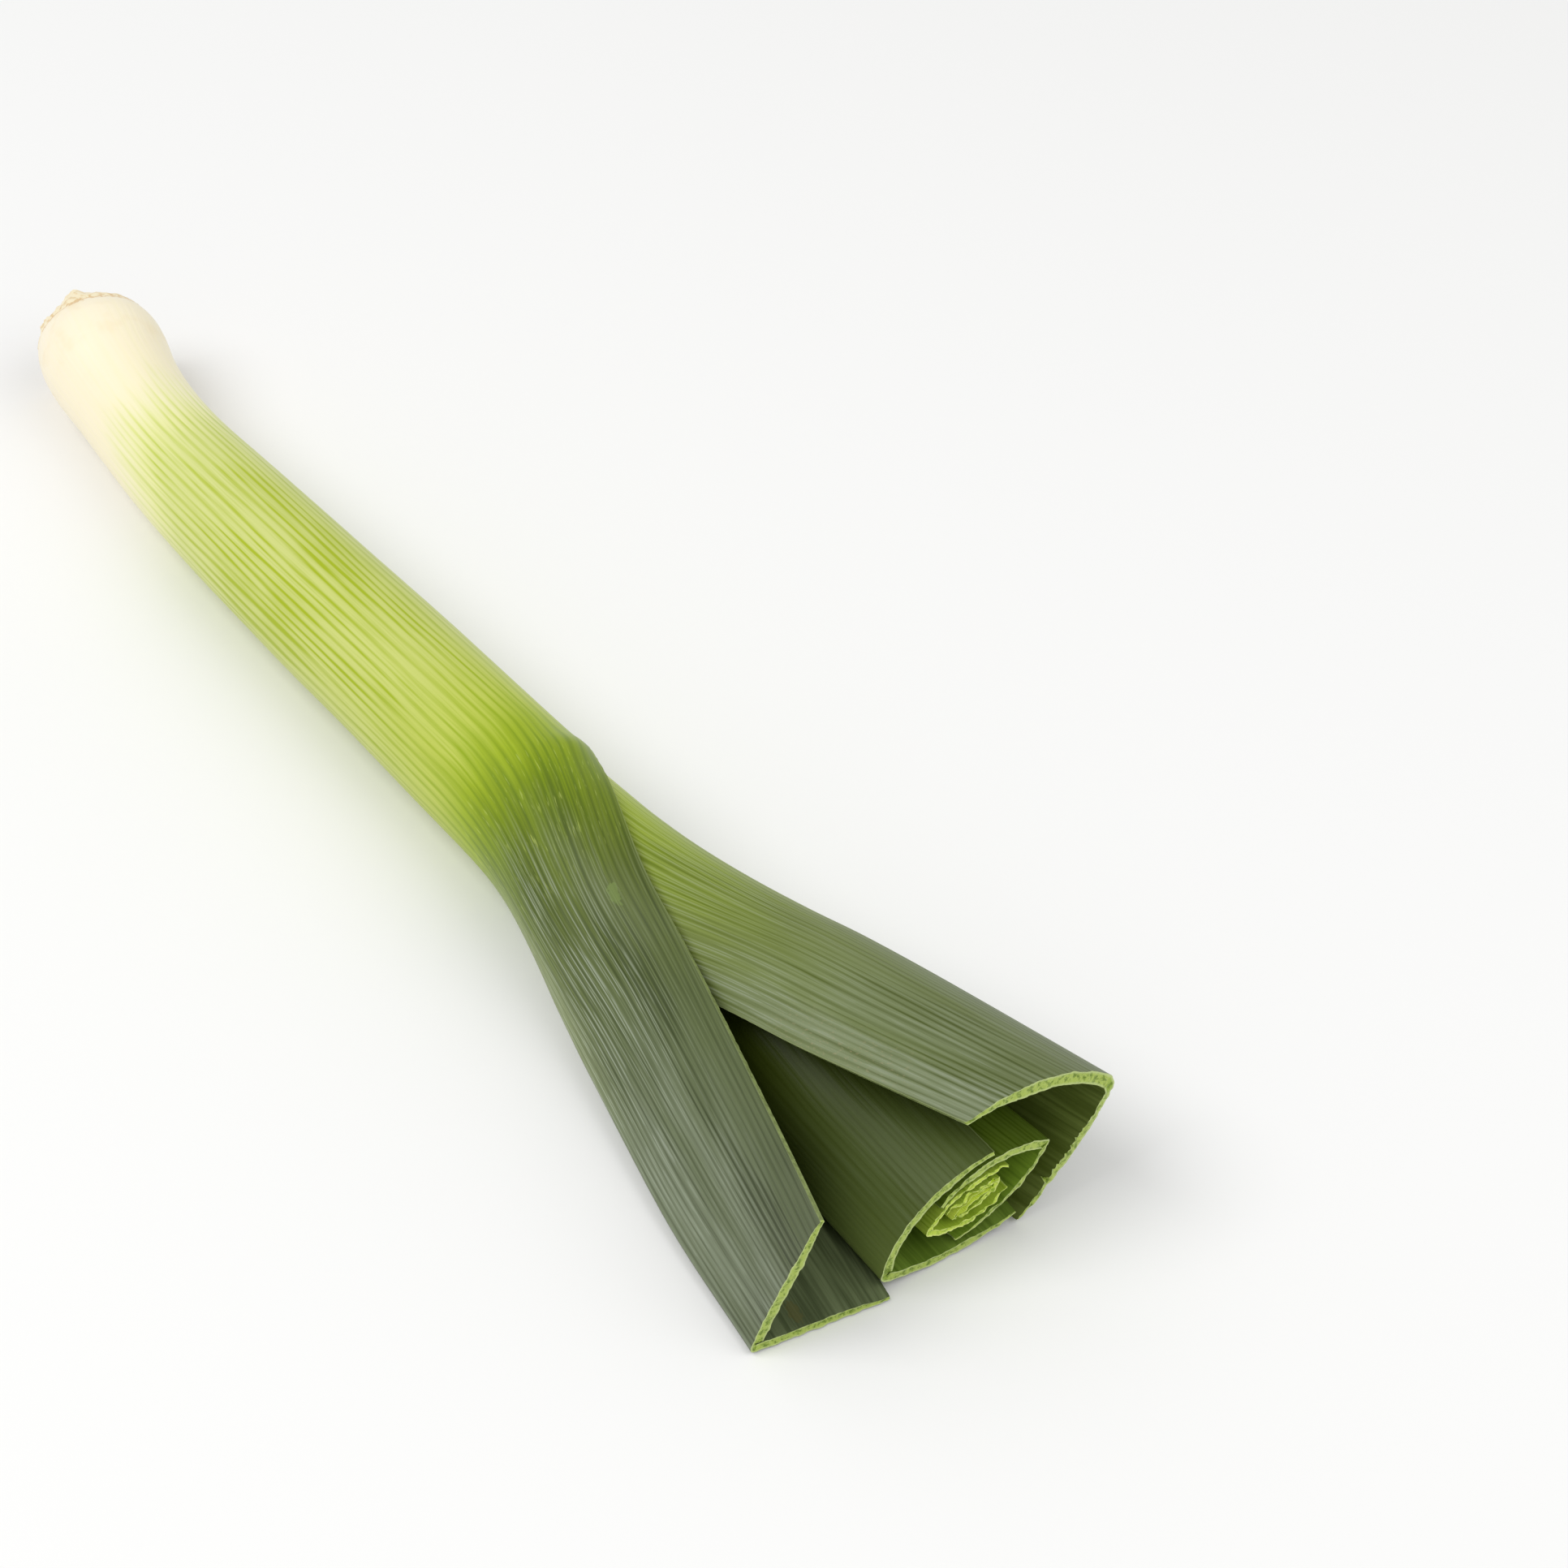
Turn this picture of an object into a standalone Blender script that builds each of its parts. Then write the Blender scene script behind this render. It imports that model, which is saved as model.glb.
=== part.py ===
"""A leek as sold: trimmed root end at -X, blades cut square at +X, lying on a level surface at z = 0.

Every leaf is a tube, its sheath, from the root plate to its mouth, and a folded blade from there to the cut.
The sheaths are nested and make the shaft. The leaves take turns: keel low on the -Y side, keel high on the +Y side.
Lengths are metres. Stations run along the shaft from a point just off the root face.
"""

import math

import bmesh
import bpy
from mathutils import Vector

# Driving dimensions
ROOT_STATION = 0.003
CUT_STATION = 0.334
CUT_SLANT = 0.10
OUTER_MOUTH = 0.200
BEND_END = 0.080
BEND_FADE = 0.030
FAN_TILT = math.radians(27)
LEVEL_STEP = 0.105
SHEATH_WALL = 0.00106
PLATE_CLEARANCE = 0.0015
COLUMNS = 20
INNER_START = 0.0100

# The outer leaf's radius along the shaft, bulb first
SHAFT_RADIUS = [
    (ROOT_STATION, 0.0127), (0.006, 0.0137), (0.009, 0.0144), (0.014, 0.0150), (0.020, 0.0148), (0.027, 0.0140),
    (0.036, 0.0135), (0.050, 0.0135), (0.080, 0.0146), (0.120, 0.0155), (0.160, 0.0160), (0.200, 0.0164),
]
# The shaft's axis seen from above: it bends off to +Y at the bulb
SHAFT_AXIS = [
    (0.000, 0.0102), (0.008, 0.0083), (0.014, 0.0070), (0.022, 0.0054), (0.032, 0.0040), (0.042, 0.0028),
    (0.060, 0.0013), (0.080, 0.0007), (0.120, 0.0005), (0.160, 0.0008), (0.200, 0.0008),
]
# Where the middle of the rolled core lies: station, sideways drift, height above the surface
CORE_PATH = [
    (0.200, 0.0008, 0.0162), (0.232, 0.0016, 0.0170), (0.262, 0.0030, 0.0164),
    (0.300, 0.0052, 0.0134), (0.318, 0.0064, 0.0134), (0.334, 0.0078, 0.0139),
]
# Half width and half height that each sheath, if it stayed whole, would flatten to at the cut, outermost first
LENS_AT_CUT = [
    (0.0200, 0.0120), (0.0185, 0.0114), (0.0172, 0.0093), (0.0144, 0.0069),
    (0.0108, 0.0045), (0.0070, 0.0026), (0.0036, 0.0009),
]
STATIONS = [
    ROOT_STATION, 0.006, 0.010, 0.014, 0.020, 0.027, 0.036, 0.048, 0.070, 0.110, 0.150, 0.185, 0.200, 0.207,
    0.214, 0.222, 0.232, 0.245, 0.262, 0.280, 0.300, 0.318, CUT_STATION,
]

# Ragged rim left where the roots were sliced off
RIM_WAVES = 7
RIM_WAVE_HEIGHT = 0.0006
RIM_FLAP_HEIGHT = 0.0030
RIM_FLAP_PLACE = 0.60
RIM_FLAP_WIDTH = 0.06

# Root plate and the stumps of its roots
PLATE_FACE = 0.0048
PLATE_BACK = 0.0090
PLATE_SIDES = 20
STUMP_RADIUS = 0.0008
STUMP_LENGTH = 0.0012
STUMP_SINK = 0.0010
STUMP_RINGS = [(0.0032, 5), (0.0068, 10)]

# Blades. A row is a station, then (y, z) of the keel, upper margin and lower margin,
# then the half angle in degrees of the arc that the upper and the lower flank bow through.
OUTER_BLADE = [
    (0.207, (-0.0142, 0.0089), (0.0138, 0.0276), (0.0171, 0.0194), 84, 82),
    (0.214, (-0.0141, 0.0088), (0.0116, 0.0296), (0.0175, 0.0130), 80, 72),
    (0.222, (-0.0164, 0.0083), (0.0080, 0.0326), (0.0168, 0.0078), 71, 62),
    (0.232, (-0.0192, 0.0077), (0.0034, 0.0336), (0.0140, 0.0034), 58, 45),
    (0.245, (-0.0230, 0.0063), (-0.0012, 0.0336), (0.0100, 0.0014), 40, 28),
    (0.262, (-0.0274, 0.0048), (-0.0058, 0.0330), (0.0050, 0.0009), 23, 18),
    (0.300, (-0.0356, 0.0020), (-0.0163, 0.0318), (-0.0050, 0.0006), 9, 8),
    (0.334, (-0.0404, 0.0006), (-0.0263, 0.0322), (-0.0120, 0.0005), 4, 2),
]
SECOND_BLADE = [
    (0.245, (0.0172, 0.0250), (-0.0154, 0.0174), (-0.0126, 0.0055), 66, 70),
    (0.262, (0.0206, 0.0265), (-0.0112, 0.0240), (-0.0030, 0.0028), 52, 57),
    (0.280, (0.0258, 0.0279), (-0.0080, 0.0288), (0.0040, 0.0020), 46, 48),
    (0.300, (0.0308, 0.0288), (-0.0046, 0.0332), (0.0110, 0.0010), 41, 31),
    (0.334, (0.0394, 0.0288), (0.0051, 0.0383), (0.0187, 0.0004), 36, 14),
]
THIRD_BLADE = [
    (0.280, (-0.0108, 0.0073), (0.0148, 0.0256), (0.0187, 0.0168), 57, 55),
    (0.300, (-0.0118, 0.0049), (0.0128, 0.0256), (0.0183, 0.0092), 45, 30),
    (0.318, (-0.0122, 0.0038), (0.0123, 0.0255), (0.0181, 0.0058), 43, 24),
    (0.334, (-0.0124, 0.0030), (0.0120, 0.0254), (0.0180, 0.0032), 43, 20),
]
FOURTH_BLADE = [
    (0.300, (0.0212, 0.0210), (-0.0052, 0.0134), (-0.0025, 0.0056), 44, 42),
    (0.318, (0.0232, 0.0210), (-0.0019, 0.0156), (0.0014, 0.0049), 41, 35),
    (0.334, (0.0248, 0.0208), (0.0003, 0.0170), (0.0042, 0.0045), 40, 31),
]
FIFTH_BLADE = [
    (0.318, (-0.0034, 0.0097), (0.0152, 0.0190), (0.0153, 0.0152), 42, 47),
    (0.334, (-0.0028, 0.0105), (0.0154, 0.0194), (0.0155, 0.0127), 40, 44),
]
SIXTH_BLADE = [
    (0.334, (0.0139, 0.0168), (0.0019, 0.0136), (0.0040, 0.0108), 28, 34),
]

# Walls of a blade: how much thicker than its flanks the keel is, and what is left at the free margins
KEEL_THICKENING = 1.1
KEEL_BREADTH = 0.12
MARGIN_SHARE = 0.40
MARGIN_BREADTH = 0.35
KEEL_SOFTNESS = 0.05
KEEL_REACH = 0.28

# Which side each keel is on: -1 low at -Y, +1 high at +Y. The walls are the upper and lower flank's at the cut.
# The lean is how far the cut stands forward of the common one, and its slope across the leek.
LEAVES = [
    {
        "name": "outer_leaf", "side": -1, "start": ROOT_STATION, "mouth": 0.200, "blade": OUTER_BLADE,
        "walls": (0.0023, 0.0021), "lean": (0.0038, 0.22),
    },
    {
        "name": "second_leaf", "side": 1, "start": INNER_START, "mouth": 0.232, "blade": SECOND_BLADE,
        "walls": (0.0026, 0.0026), "lean": (0.0, CUT_SLANT),
    },
    {
        "name": "third_leaf", "side": -1, "start": INNER_START, "mouth": 0.262, "blade": THIRD_BLADE,
        "walls": (0.0023, 0.0022), "lean": (0.0, CUT_SLANT),
    },
    {
        "name": "fourth_leaf", "side": 1, "start": INNER_START, "mouth": 0.280, "blade": FOURTH_BLADE,
        "walls": (0.0021, 0.0014), "lean": (0.0, CUT_SLANT),
    },
    {
        "name": "fifth_leaf", "side": -1, "start": INNER_START, "mouth": 0.300, "blade": FIFTH_BLADE,
        "walls": (0.0012, 0.0012), "lean": (0.0, CUT_SLANT),
    },
    {
        "name": "sixth_leaf", "side": 1, "start": INNER_START, "mouth": 0.318, "blade": SIXTH_BLADE,
        "walls": (0.0009, 0.0009), "lean": (0.0, CUT_SLANT),
    },
]
HEART_LEVEL = 6
HEART_SIDE = -1
HEART_LEAN = (0.0, CUT_SLANT)
THICKEST_WALL = 0.0040

LEAF_GREEN = (0.085, 0.16, 0.045)
CORE_GREEN = (0.20, 0.38, 0.05)
HEART_GREEN = (0.50, 0.62, 0.12)
PLATE_CREAM = (0.78, 0.66, 0.42)


def smooth_through(rows, x):
    """The values of a row list at x, on a smooth curve through the rows. A row is x and then its values."""
    if x <= rows[0][0]:
        return list(rows[0][1:])
    if x >= rows[-1][0]:
        return list(rows[-1][1:])
    i = max(k for k in range(len(rows) - 1) if rows[k][0] <= x)
    here, there = rows[i], rows[i + 1]
    before, after = rows[max(i - 1, 0)], rows[min(i + 2, len(rows) - 1)]
    span = there[0] - here[0]
    t = (x - here[0]) / span
    values = []
    for k in range(1, len(here)):
        leave = (there[k] - before[k]) / (there[0] - before[0]) * span
        arrive = (after[k] - here[k]) / (after[0] - here[0]) * span
        values.append(
            (2 * t**3 - 3 * t**2 + 1) * here[k] + (t**3 - 2 * t**2 + t) * leave
            + (3 * t**2 - 2 * t**3) * there[k] + (t**3 - t**2) * arrive
        )
    return values


def ease(t):
    t = min(max(t, 0.0), 1.0)
    return t * t * (3 - 2 * t)


def mix(a, b, share):
    return a + (b - a) * share


def core_centre(x):
    """Sideways place and height of the middle of the leek. The shaft's lowest facet lies on the surface."""
    if x <= OUTER_MOUTH:
        radius = smooth_through(SHAFT_RADIUS, x)[0]
        return smooth_through(SHAFT_AXIS, x)[0], radius * math.cos(math.pi / COLUMNS)
    return tuple(smooth_through(CORE_PATH, x))


def heading_at(x):
    """The direction that the shaft's axis runs in at station x, as an angle off +X."""
    if x > BEND_END:
        return 0.0
    step = 0.001
    return math.atan((core_centre(x + step)[0] - core_centre(x)[0]) / step) * ease((BEND_END - x) / BEND_FADE)


def closed_section(level, x):
    """Centre, half width and arc half angle of a sheath. It is round in the shaft and flattens to a lens in the core."""
    flatten = ease((x - OUTER_MOUTH) / (CUT_STATION - OUTER_MOUTH))
    radius = smooth_through(SHAFT_RADIUS, x)[0] * (1 - LEVEL_STEP * level)
    half_width = mix(radius, LENS_AT_CUT[level][0], flatten)
    half_height = mix(radius, LENS_AT_CUT[level][1], flatten)
    return core_centre(x), half_width, 2 * math.atan(half_height / half_width)


def closed_row(level, side, x):
    """Keel, both margins and both bends of a leaf where its sheath is whole."""
    (y, z), half_width, bend = closed_section(level, x)
    across = Vector((math.cos(FAN_TILT), math.sin(FAN_TILT))) * half_width * side
    centre = Vector((y, z))
    seam = centre - across
    return [*(centre + across), *seam, *seam, bend, bend]


def open_row(row):
    keel, upper, lower, bend_up, bend_low = row
    return [*keel, *upper, *lower, math.radians(bend_up), math.radians(bend_low)]


def leaf_row(leaf, x):
    """The leaf's keel, margins and bends at station x."""
    mouth = leaf["mouth"]
    if x <= mouth:
        return closed_row(leaf["level"], leaf["side"], x)
    table = [(mouth, *closed_row(leaf["level"], leaf["side"], mouth))]
    table += [(row[0], *open_row(row[1:])) for row in leaf["blade"]]
    return smooth_through(table, x)


def arc_point(start, end, bend, bulge_side, t):
    """A point on the arc from start to end that bows through twice the bend angle."""
    chord = end - start
    normal = Vector((-chord.y, chord.x)).normalized() * bulge_side
    bend = max(bend, math.radians(1))
    radius = chord.length / (2 * math.sin(bend))
    turn = bend * (2 * t - 1)
    along = start + chord / 2 + chord.normalized() * radius * math.sin(turn)
    return along + normal * radius * (math.cos(turn) - math.cos(bend))


def flank_point(side, row, across):
    """Outer surface at across, from -1 at the lower margin through 0 at the keel to 1 at the upper margin."""
    keel = Vector(row[0:2])
    upper = across >= 0
    margin = Vector(row[2:4] if upper else row[4:6])
    return arc_point(keel, margin, row[6 if upper else 7], -side if upper else side, abs(across))


def rounded_point(side, row, across):
    """The outer surface with its keel rounded off where the blade is folded."""
    folded = 1 - (row[6] + row[7]) / math.pi
    reach = KEEL_SOFTNESS * folded * max(0.0, 1 - abs(across) / KEEL_REACH)
    points = [flank_point(side, row, across + d) for d in (-reach, 0.0, reach)]
    return (points[0] + points[1] + points[2]) / 3


def placed(x, point, lean=HEART_LEAN):
    """A section's (y, z) point in space. Sections of the bent bulb stand square to its axis."""
    heading = heading_at(x)
    centre_y = core_centre(x)[0]
    aside = point[0] - centre_y
    forward = (lean[0] + lean[1] * point[0]) * ease((x - OUTER_MOUTH) / (CUT_STATION - OUTER_MOUTH))
    return Vector((
        x - math.sin(heading) * aside + forward,
        centre_y + math.cos(heading) * aside,
        max(point[1], 0.0),
    ))


def rim_shift(across):
    """How far the sliced rim stands out towards -X at this place round the sheath."""
    wave = RIM_WAVE_HEIGHT * math.sin(RIM_WAVES * math.pi * across)
    flap = RIM_FLAP_HEIGHT * math.exp(-((across - RIM_FLAP_PLACE) / RIM_FLAP_WIDTH) ** 2)
    return wave + flap


def wall_at(leaf, x, across):
    """The wall's thickness. A whole sheath is even all round, a blade has a thick keel and thin margins."""
    opened = ease((x - leaf["mouth"]) / (CUT_STATION - leaf["mouth"]))
    upper, lower = leaf["walls"]
    at_cut = mix(lower, upper, ease(across / KEEL_BREADTH + 0.5))
    flank = mix(SHEATH_WALL, at_cut, opened)
    keel = mix(1.0, KEEL_THICKENING, opened * math.exp(-((across / KEEL_BREADTH) ** 2)))
    margin = mix(1.0, MARGIN_SHARE, opened * ease((abs(across) - 1 + MARGIN_BREADTH) / MARGIN_BREADTH))
    return flank * keel * margin


def finish_object(name, bm, colour, roughness):
    """Makes the bmesh an object with its own material."""
    mesh = bpy.data.meshes.new(name)
    bm.to_mesh(mesh)
    bm.free()
    mesh.shade_smooth()
    obj = bpy.data.objects.new(name, mesh)
    bpy.context.collection.objects.link(obj)
    material = bpy.data.materials.new(name)
    material.use_nodes = True
    shader = material.node_tree.nodes["Principled BSDF"]
    shader.inputs["Base Color"].default_value = (*colour, 1.0)
    shader.inputs["Roughness"].default_value = roughness
    shader.inputs["Metallic"].default_value = 0.0
    material.diffuse_color = (*colour, 1.0)
    mesh.materials.append(material)
    return obj


def make_leaf(leaf, colour):
    """One leaf: a grid bent to its outer surface, its margins welded along the sheath, and walled inwards."""
    stations = [leaf["start"]] + [x for x in STATIONS if x > leaf["start"] + 0.001]
    rows = len(stations) - 1
    bm = bmesh.new()
    bmesh.ops.create_grid(bm, x_segments=rows, y_segments=COLUMNS, size=1.0)
    walls = bm.verts.layers.deform.verify()
    seam = []
    for vert in bm.verts:
        x = stations[round((vert.co.x + 1) / 2 * rows)]
        across = round(vert.co.y * COLUMNS / 2) / (COLUMNS / 2)
        vert[walls][0] = wall_at(leaf, x, across) / THICKEST_WALL
        vert.co = placed(x, rounded_point(leaf["side"], leaf_row(leaf, x), across), leaf["lean"])
        if x == ROOT_STATION:
            vert.co.x -= rim_shift(across)
        if abs(across) == 1.0 and x <= leaf["mouth"]:
            seam.append(vert)
    bmesh.ops.remove_doubles(bm, verts=seam, dist=1e-6)
    if leaf["side"] > 0:
        bmesh.ops.reverse_faces(bm, faces=bm.faces[:])
    obj = finish_object(leaf["name"], bm, colour, 0.45)
    group = obj.vertex_groups.new(name="wall")
    wall = obj.modifiers.new("wall", "SOLIDIFY")
    wall.thickness = THICKEST_WALL
    wall.offset = -1.0
    wall.vertex_group = group.name
    wall.use_even_offset = True
    return obj


def make_heart():
    """The youngest leaves, rolled tight into one slim rod that flattens towards the cut."""
    stations = [INNER_START] + [x for x in STATIONS if x > INNER_START + 0.001]
    rows = len(stations) - 1
    bm = bmesh.new()
    bmesh.ops.create_grid(bm, x_segments=rows, y_segments=COLUMNS, size=1.0)
    for vert in bm.verts:
        x = stations[round((vert.co.x + 1) / 2 * rows)]
        across = round(vert.co.y * COLUMNS / 2) / (COLUMNS / 2)
        vert.co = placed(x, flank_point(HEART_SIDE, closed_row(HEART_LEVEL, HEART_SIDE, x), across))
    bmesh.ops.remove_doubles(bm, verts=bm.verts[:], dist=1e-6)
    bmesh.ops.holes_fill(bm, edges=[e for e in bm.edges if e.is_boundary], sides=0)
    bmesh.ops.recalc_face_normals(bm, faces=bm.faces[:])
    return finish_object("heart", bm, HEART_GREEN, 0.4)


def make_root_plate():
    """The basal plate that the leaves grow from, sliced flat, with the stumps of its roots."""
    bm = bmesh.new()
    rings = [(PLATE_FACE, 0.82), (PLATE_FACE + 0.0006, 1.0), ((PLATE_FACE + PLATE_BACK) / 2, 1.0), (PLATE_BACK, 1.0)]
    loops = []
    for x, share in rings:
        (y, z), radius, _ = closed_section(0, x)
        reach = (radius - SHEATH_WALL - PLATE_CLEARANCE) * share
        loop = []
        for k in range(PLATE_SIDES):
            angle = FAN_TILT + 2 * math.pi * k / PLATE_SIDES
            point = Vector((y + reach * math.cos(angle), z + reach * math.sin(angle)))
            loop.append(bm.verts.new(placed(x, point)))
        loops.append(loop)
    edges = [bm.edges.new((loop[k], loop[(k + 1) % PLATE_SIDES])) for loop in loops for k in range(PLATE_SIDES)]
    for k in range(len(loops) - 1):
        pair = edges[k * PLATE_SIDES:(k + 2) * PLATE_SIDES]
        bmesh.ops.bridge_loops(bm, edges=pair)
    bm.faces.new(loops[0])
    bm.faces.new(loops[-1])
    bmesh.ops.recalc_face_normals(bm, faces=bm.faces[:])
    plate = finish_object("root_plate", bm, PLATE_CREAM, 0.7)
    stumps = bpy.data.collections.new("root_stumps")
    bpy.context.scene.collection.children.link(stumps)
    for number, (ring, count) in enumerate(STUMP_RINGS):
        for k in range(count):
            stumps.objects.link(make_stump(ring, 2 * math.pi * (k + 0.5 * number) / count))
    join = plate.modifiers.new("stumps", "BOOLEAN")
    join.operation = "UNION"
    join.operand_type = "COLLECTION"
    join.collection = stumps
    bpy.context.view_layer.update()
    joined = bpy.data.meshes.new_from_object(plate.evaluated_get(bpy.context.evaluated_depsgraph_get()))
    plate.modifiers.remove(join)
    plate.data = joined
    for stump in list(stumps.objects):
        bpy.data.objects.remove(stump)
    bpy.data.collections.remove(stumps)
    return plate


def make_stump(ring, angle):
    """One sliced root, standing out of the plate's face."""
    (y, z), _, _ = closed_section(0, PLATE_FACE)
    heading = heading_at(PLATE_FACE)
    bm = bmesh.new()
    bmesh.ops.create_cone(
        bm, cap_ends=True, segments=6, radius1=STUMP_RADIUS, radius2=STUMP_RADIUS * 0.8,
        depth=STUMP_LENGTH + STUMP_SINK,
    )
    mesh = bpy.data.meshes.new("stump")
    bm.to_mesh(mesh)
    bm.free()
    stump = bpy.data.objects.new("stump", mesh)
    stump.rotation_euler = (0.0, -math.pi / 2, heading)
    point = Vector((y + ring * math.cos(angle), z + ring * math.sin(angle)))
    outwards = Vector((-math.cos(heading), -math.sin(heading), 0.0))
    stump.location = placed(PLATE_FACE, point) + outwards * (STUMP_LENGTH - STUMP_SINK) / 2
    return stump


def centre_on_origin(objects):
    """Moves the leek so that the middle of its base is at the origin."""
    bpy.context.view_layer.update()
    graph = bpy.context.evaluated_depsgraph_get()
    corners = []
    for obj in objects:
        shape = obj.evaluated_get(graph)
        corners += [shape.matrix_world @ vert.co for vert in shape.data.vertices]
    low = Vector(min(c[k] for c in corners) for k in range(3))
    high = Vector(max(c[k] for c in corners) for k in range(3))
    middle = Vector(((low.x + high.x) / 2, (low.y + high.y) / 2, low.z))
    for obj in objects:
        obj.location -= middle


def main():
    for obj in list(bpy.data.objects):
        bpy.data.objects.remove(obj)
    colours = [LEAF_GREEN, LEAF_GREEN, CORE_GREEN, CORE_GREEN, CORE_GREEN, HEART_GREEN]
    objects = [make_leaf({**leaf, "level": level}, colours[level]) for level, leaf in enumerate(LEAVES)]
    objects.append(make_heart())
    objects.append(make_root_plate())
    centre_on_origin(objects)


main()
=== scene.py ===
"""The leek's looks: its fine leaves, heart and root plate, on a pale floor in soft light."""

import math

import bmesh
import bpy
from mathutils import Euler, Matrix, Vector, noise


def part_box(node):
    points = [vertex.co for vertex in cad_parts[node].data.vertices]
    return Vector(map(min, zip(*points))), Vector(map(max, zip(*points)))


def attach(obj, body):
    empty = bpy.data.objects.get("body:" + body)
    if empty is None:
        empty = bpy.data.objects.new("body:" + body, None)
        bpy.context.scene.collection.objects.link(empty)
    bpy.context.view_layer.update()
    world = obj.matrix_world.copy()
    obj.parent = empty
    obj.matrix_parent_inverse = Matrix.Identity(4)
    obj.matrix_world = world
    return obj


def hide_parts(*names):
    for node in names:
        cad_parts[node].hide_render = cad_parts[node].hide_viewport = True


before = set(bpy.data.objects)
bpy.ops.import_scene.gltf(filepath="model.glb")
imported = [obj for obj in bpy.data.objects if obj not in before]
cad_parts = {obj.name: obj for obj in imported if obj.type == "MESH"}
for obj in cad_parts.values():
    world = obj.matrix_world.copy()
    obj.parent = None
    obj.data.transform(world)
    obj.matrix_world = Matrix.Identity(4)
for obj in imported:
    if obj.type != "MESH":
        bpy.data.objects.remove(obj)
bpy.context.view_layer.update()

# The leaves' shape, with the part's own driving dimensions. Stations run along the shaft from the root end.
ROOT_STATION = 0.003
CUT_STATION = 0.334
CUT_SLANT = 0.10
OUTER_MOUTH = 0.200
BEND_END = 0.080
BEND_FADE = 0.030
FAN_TILT = math.radians(27)
LEVEL_STEP = 0.105
SHEATH_WALL = 0.00106
PLATE_CLEARANCE = 0.0015
PART_COLUMNS = 20
INNER_START = 0.0100

SHAFT_RADIUS = [
    (ROOT_STATION, 0.0127), (0.006, 0.0137), (0.009, 0.0144), (0.014, 0.0150), (0.020, 0.0148),
    (0.027, 0.0140), (0.036, 0.0135), (0.050, 0.0135), (0.080, 0.0146), (0.120, 0.0155), (0.160, 0.0160),
    (0.200, 0.0164),
]
SHAFT_AXIS = [
    (0.000, 0.0102), (0.008, 0.0083), (0.014, 0.0070), (0.022, 0.0054), (0.032, 0.0040), (0.042, 0.0028),
    (0.060, 0.0013), (0.080, 0.0007), (0.120, 0.0005), (0.160, 0.0008), (0.200, 0.0008),
]
CORE_PATH = [
    (0.200, 0.0008, 0.0162), (0.232, 0.0016, 0.0170), (0.262, 0.0030, 0.0164),
    (0.300, 0.0052, 0.0134), (0.318, 0.0064, 0.0134), (0.334, 0.0078, 0.0139),
]
LENS_AT_CUT = [
    (0.0200, 0.0120), (0.0185, 0.0114), (0.0172, 0.0093), (0.0144, 0.0069),
    (0.0108, 0.0045), (0.0070, 0.0026), (0.0036, 0.0009),
]

# Blades. A row is a station, then (y, z) of the keel, upper margin and lower margin,
# then the half angle in degrees of the arc that the upper and the lower flank bow through.
OUTER_BLADE = [
    (0.207, (-0.0142, 0.0089), (0.0138, 0.0276), (0.0171, 0.0194), 84, 82),
    (0.214, (-0.0141, 0.0088), (0.0116, 0.0296), (0.0175, 0.0130), 80, 72),
    (0.222, (-0.0164, 0.0083), (0.0080, 0.0326), (0.0168, 0.0078), 71, 62),
    (0.232, (-0.0192, 0.0077), (0.0034, 0.0336), (0.0140, 0.0034), 58, 45),
    (0.245, (-0.0230, 0.0063), (-0.0012, 0.0336), (0.0100, 0.0014), 40, 28),
    (0.262, (-0.0274, 0.0048), (-0.0058, 0.0330), (0.0050, 0.0009), 23, 18),
    (0.300, (-0.0356, 0.0020), (-0.0163, 0.0318), (-0.0050, 0.0006), 9, 8),
    (0.334, (-0.0404, 0.0006), (-0.0263, 0.0322), (-0.0120, 0.0005), 4, 2),
]
SECOND_BLADE = [
    (0.245, (0.0172, 0.0250), (-0.0154, 0.0174), (-0.0126, 0.0055), 66, 70),
    (0.262, (0.0206, 0.0265), (-0.0112, 0.0240), (-0.0030, 0.0028), 52, 57),
    (0.280, (0.0258, 0.0279), (-0.0080, 0.0288), (0.0040, 0.0020), 46, 48),
    (0.300, (0.0308, 0.0288), (-0.0046, 0.0332), (0.0110, 0.0010), 41, 31),
    (0.334, (0.0394, 0.0288), (0.0051, 0.0383), (0.0187, 0.0004), 36, 14),
]
THIRD_BLADE = [
    (0.280, (-0.0108, 0.0073), (0.0148, 0.0256), (0.0187, 0.0168), 57, 55),
    (0.300, (-0.0118, 0.0049), (0.0128, 0.0256), (0.0183, 0.0092), 45, 30),
    (0.318, (-0.0122, 0.0038), (0.0123, 0.0255), (0.0181, 0.0058), 43, 24),
    (0.334, (-0.0124, 0.0030), (0.0120, 0.0254), (0.0180, 0.0032), 43, 20),
]
FOURTH_BLADE = [
    (0.300, (0.0212, 0.0210), (-0.0052, 0.0134), (-0.0025, 0.0056), 44, 42),
    (0.318, (0.0232, 0.0210), (-0.0019, 0.0156), (0.0014, 0.0049), 41, 35),
    (0.334, (0.0248, 0.0208), (0.0003, 0.0170), (0.0042, 0.0045), 40, 31),
]
FIFTH_BLADE = [
    (0.318, (-0.0034, 0.0097), (0.0152, 0.0190), (0.0153, 0.0152), 42, 47),
    (0.334, (-0.0028, 0.0105), (0.0154, 0.0194), (0.0155, 0.0127), 40, 44),
]
SIXTH_BLADE = [
    (0.334, (0.0139, 0.0168), (0.0019, 0.0136), (0.0040, 0.0108), 28, 34),
]

KEEL_THICKENING = 1.1
KEEL_BREADTH = 0.12
MARGIN_SHARE = 0.40
MARGIN_BREADTH = 0.35
KEEL_SOFTNESS = 0.05
KEEL_REACH = 0.28
THICKEST_WALL = 0.0040

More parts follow.
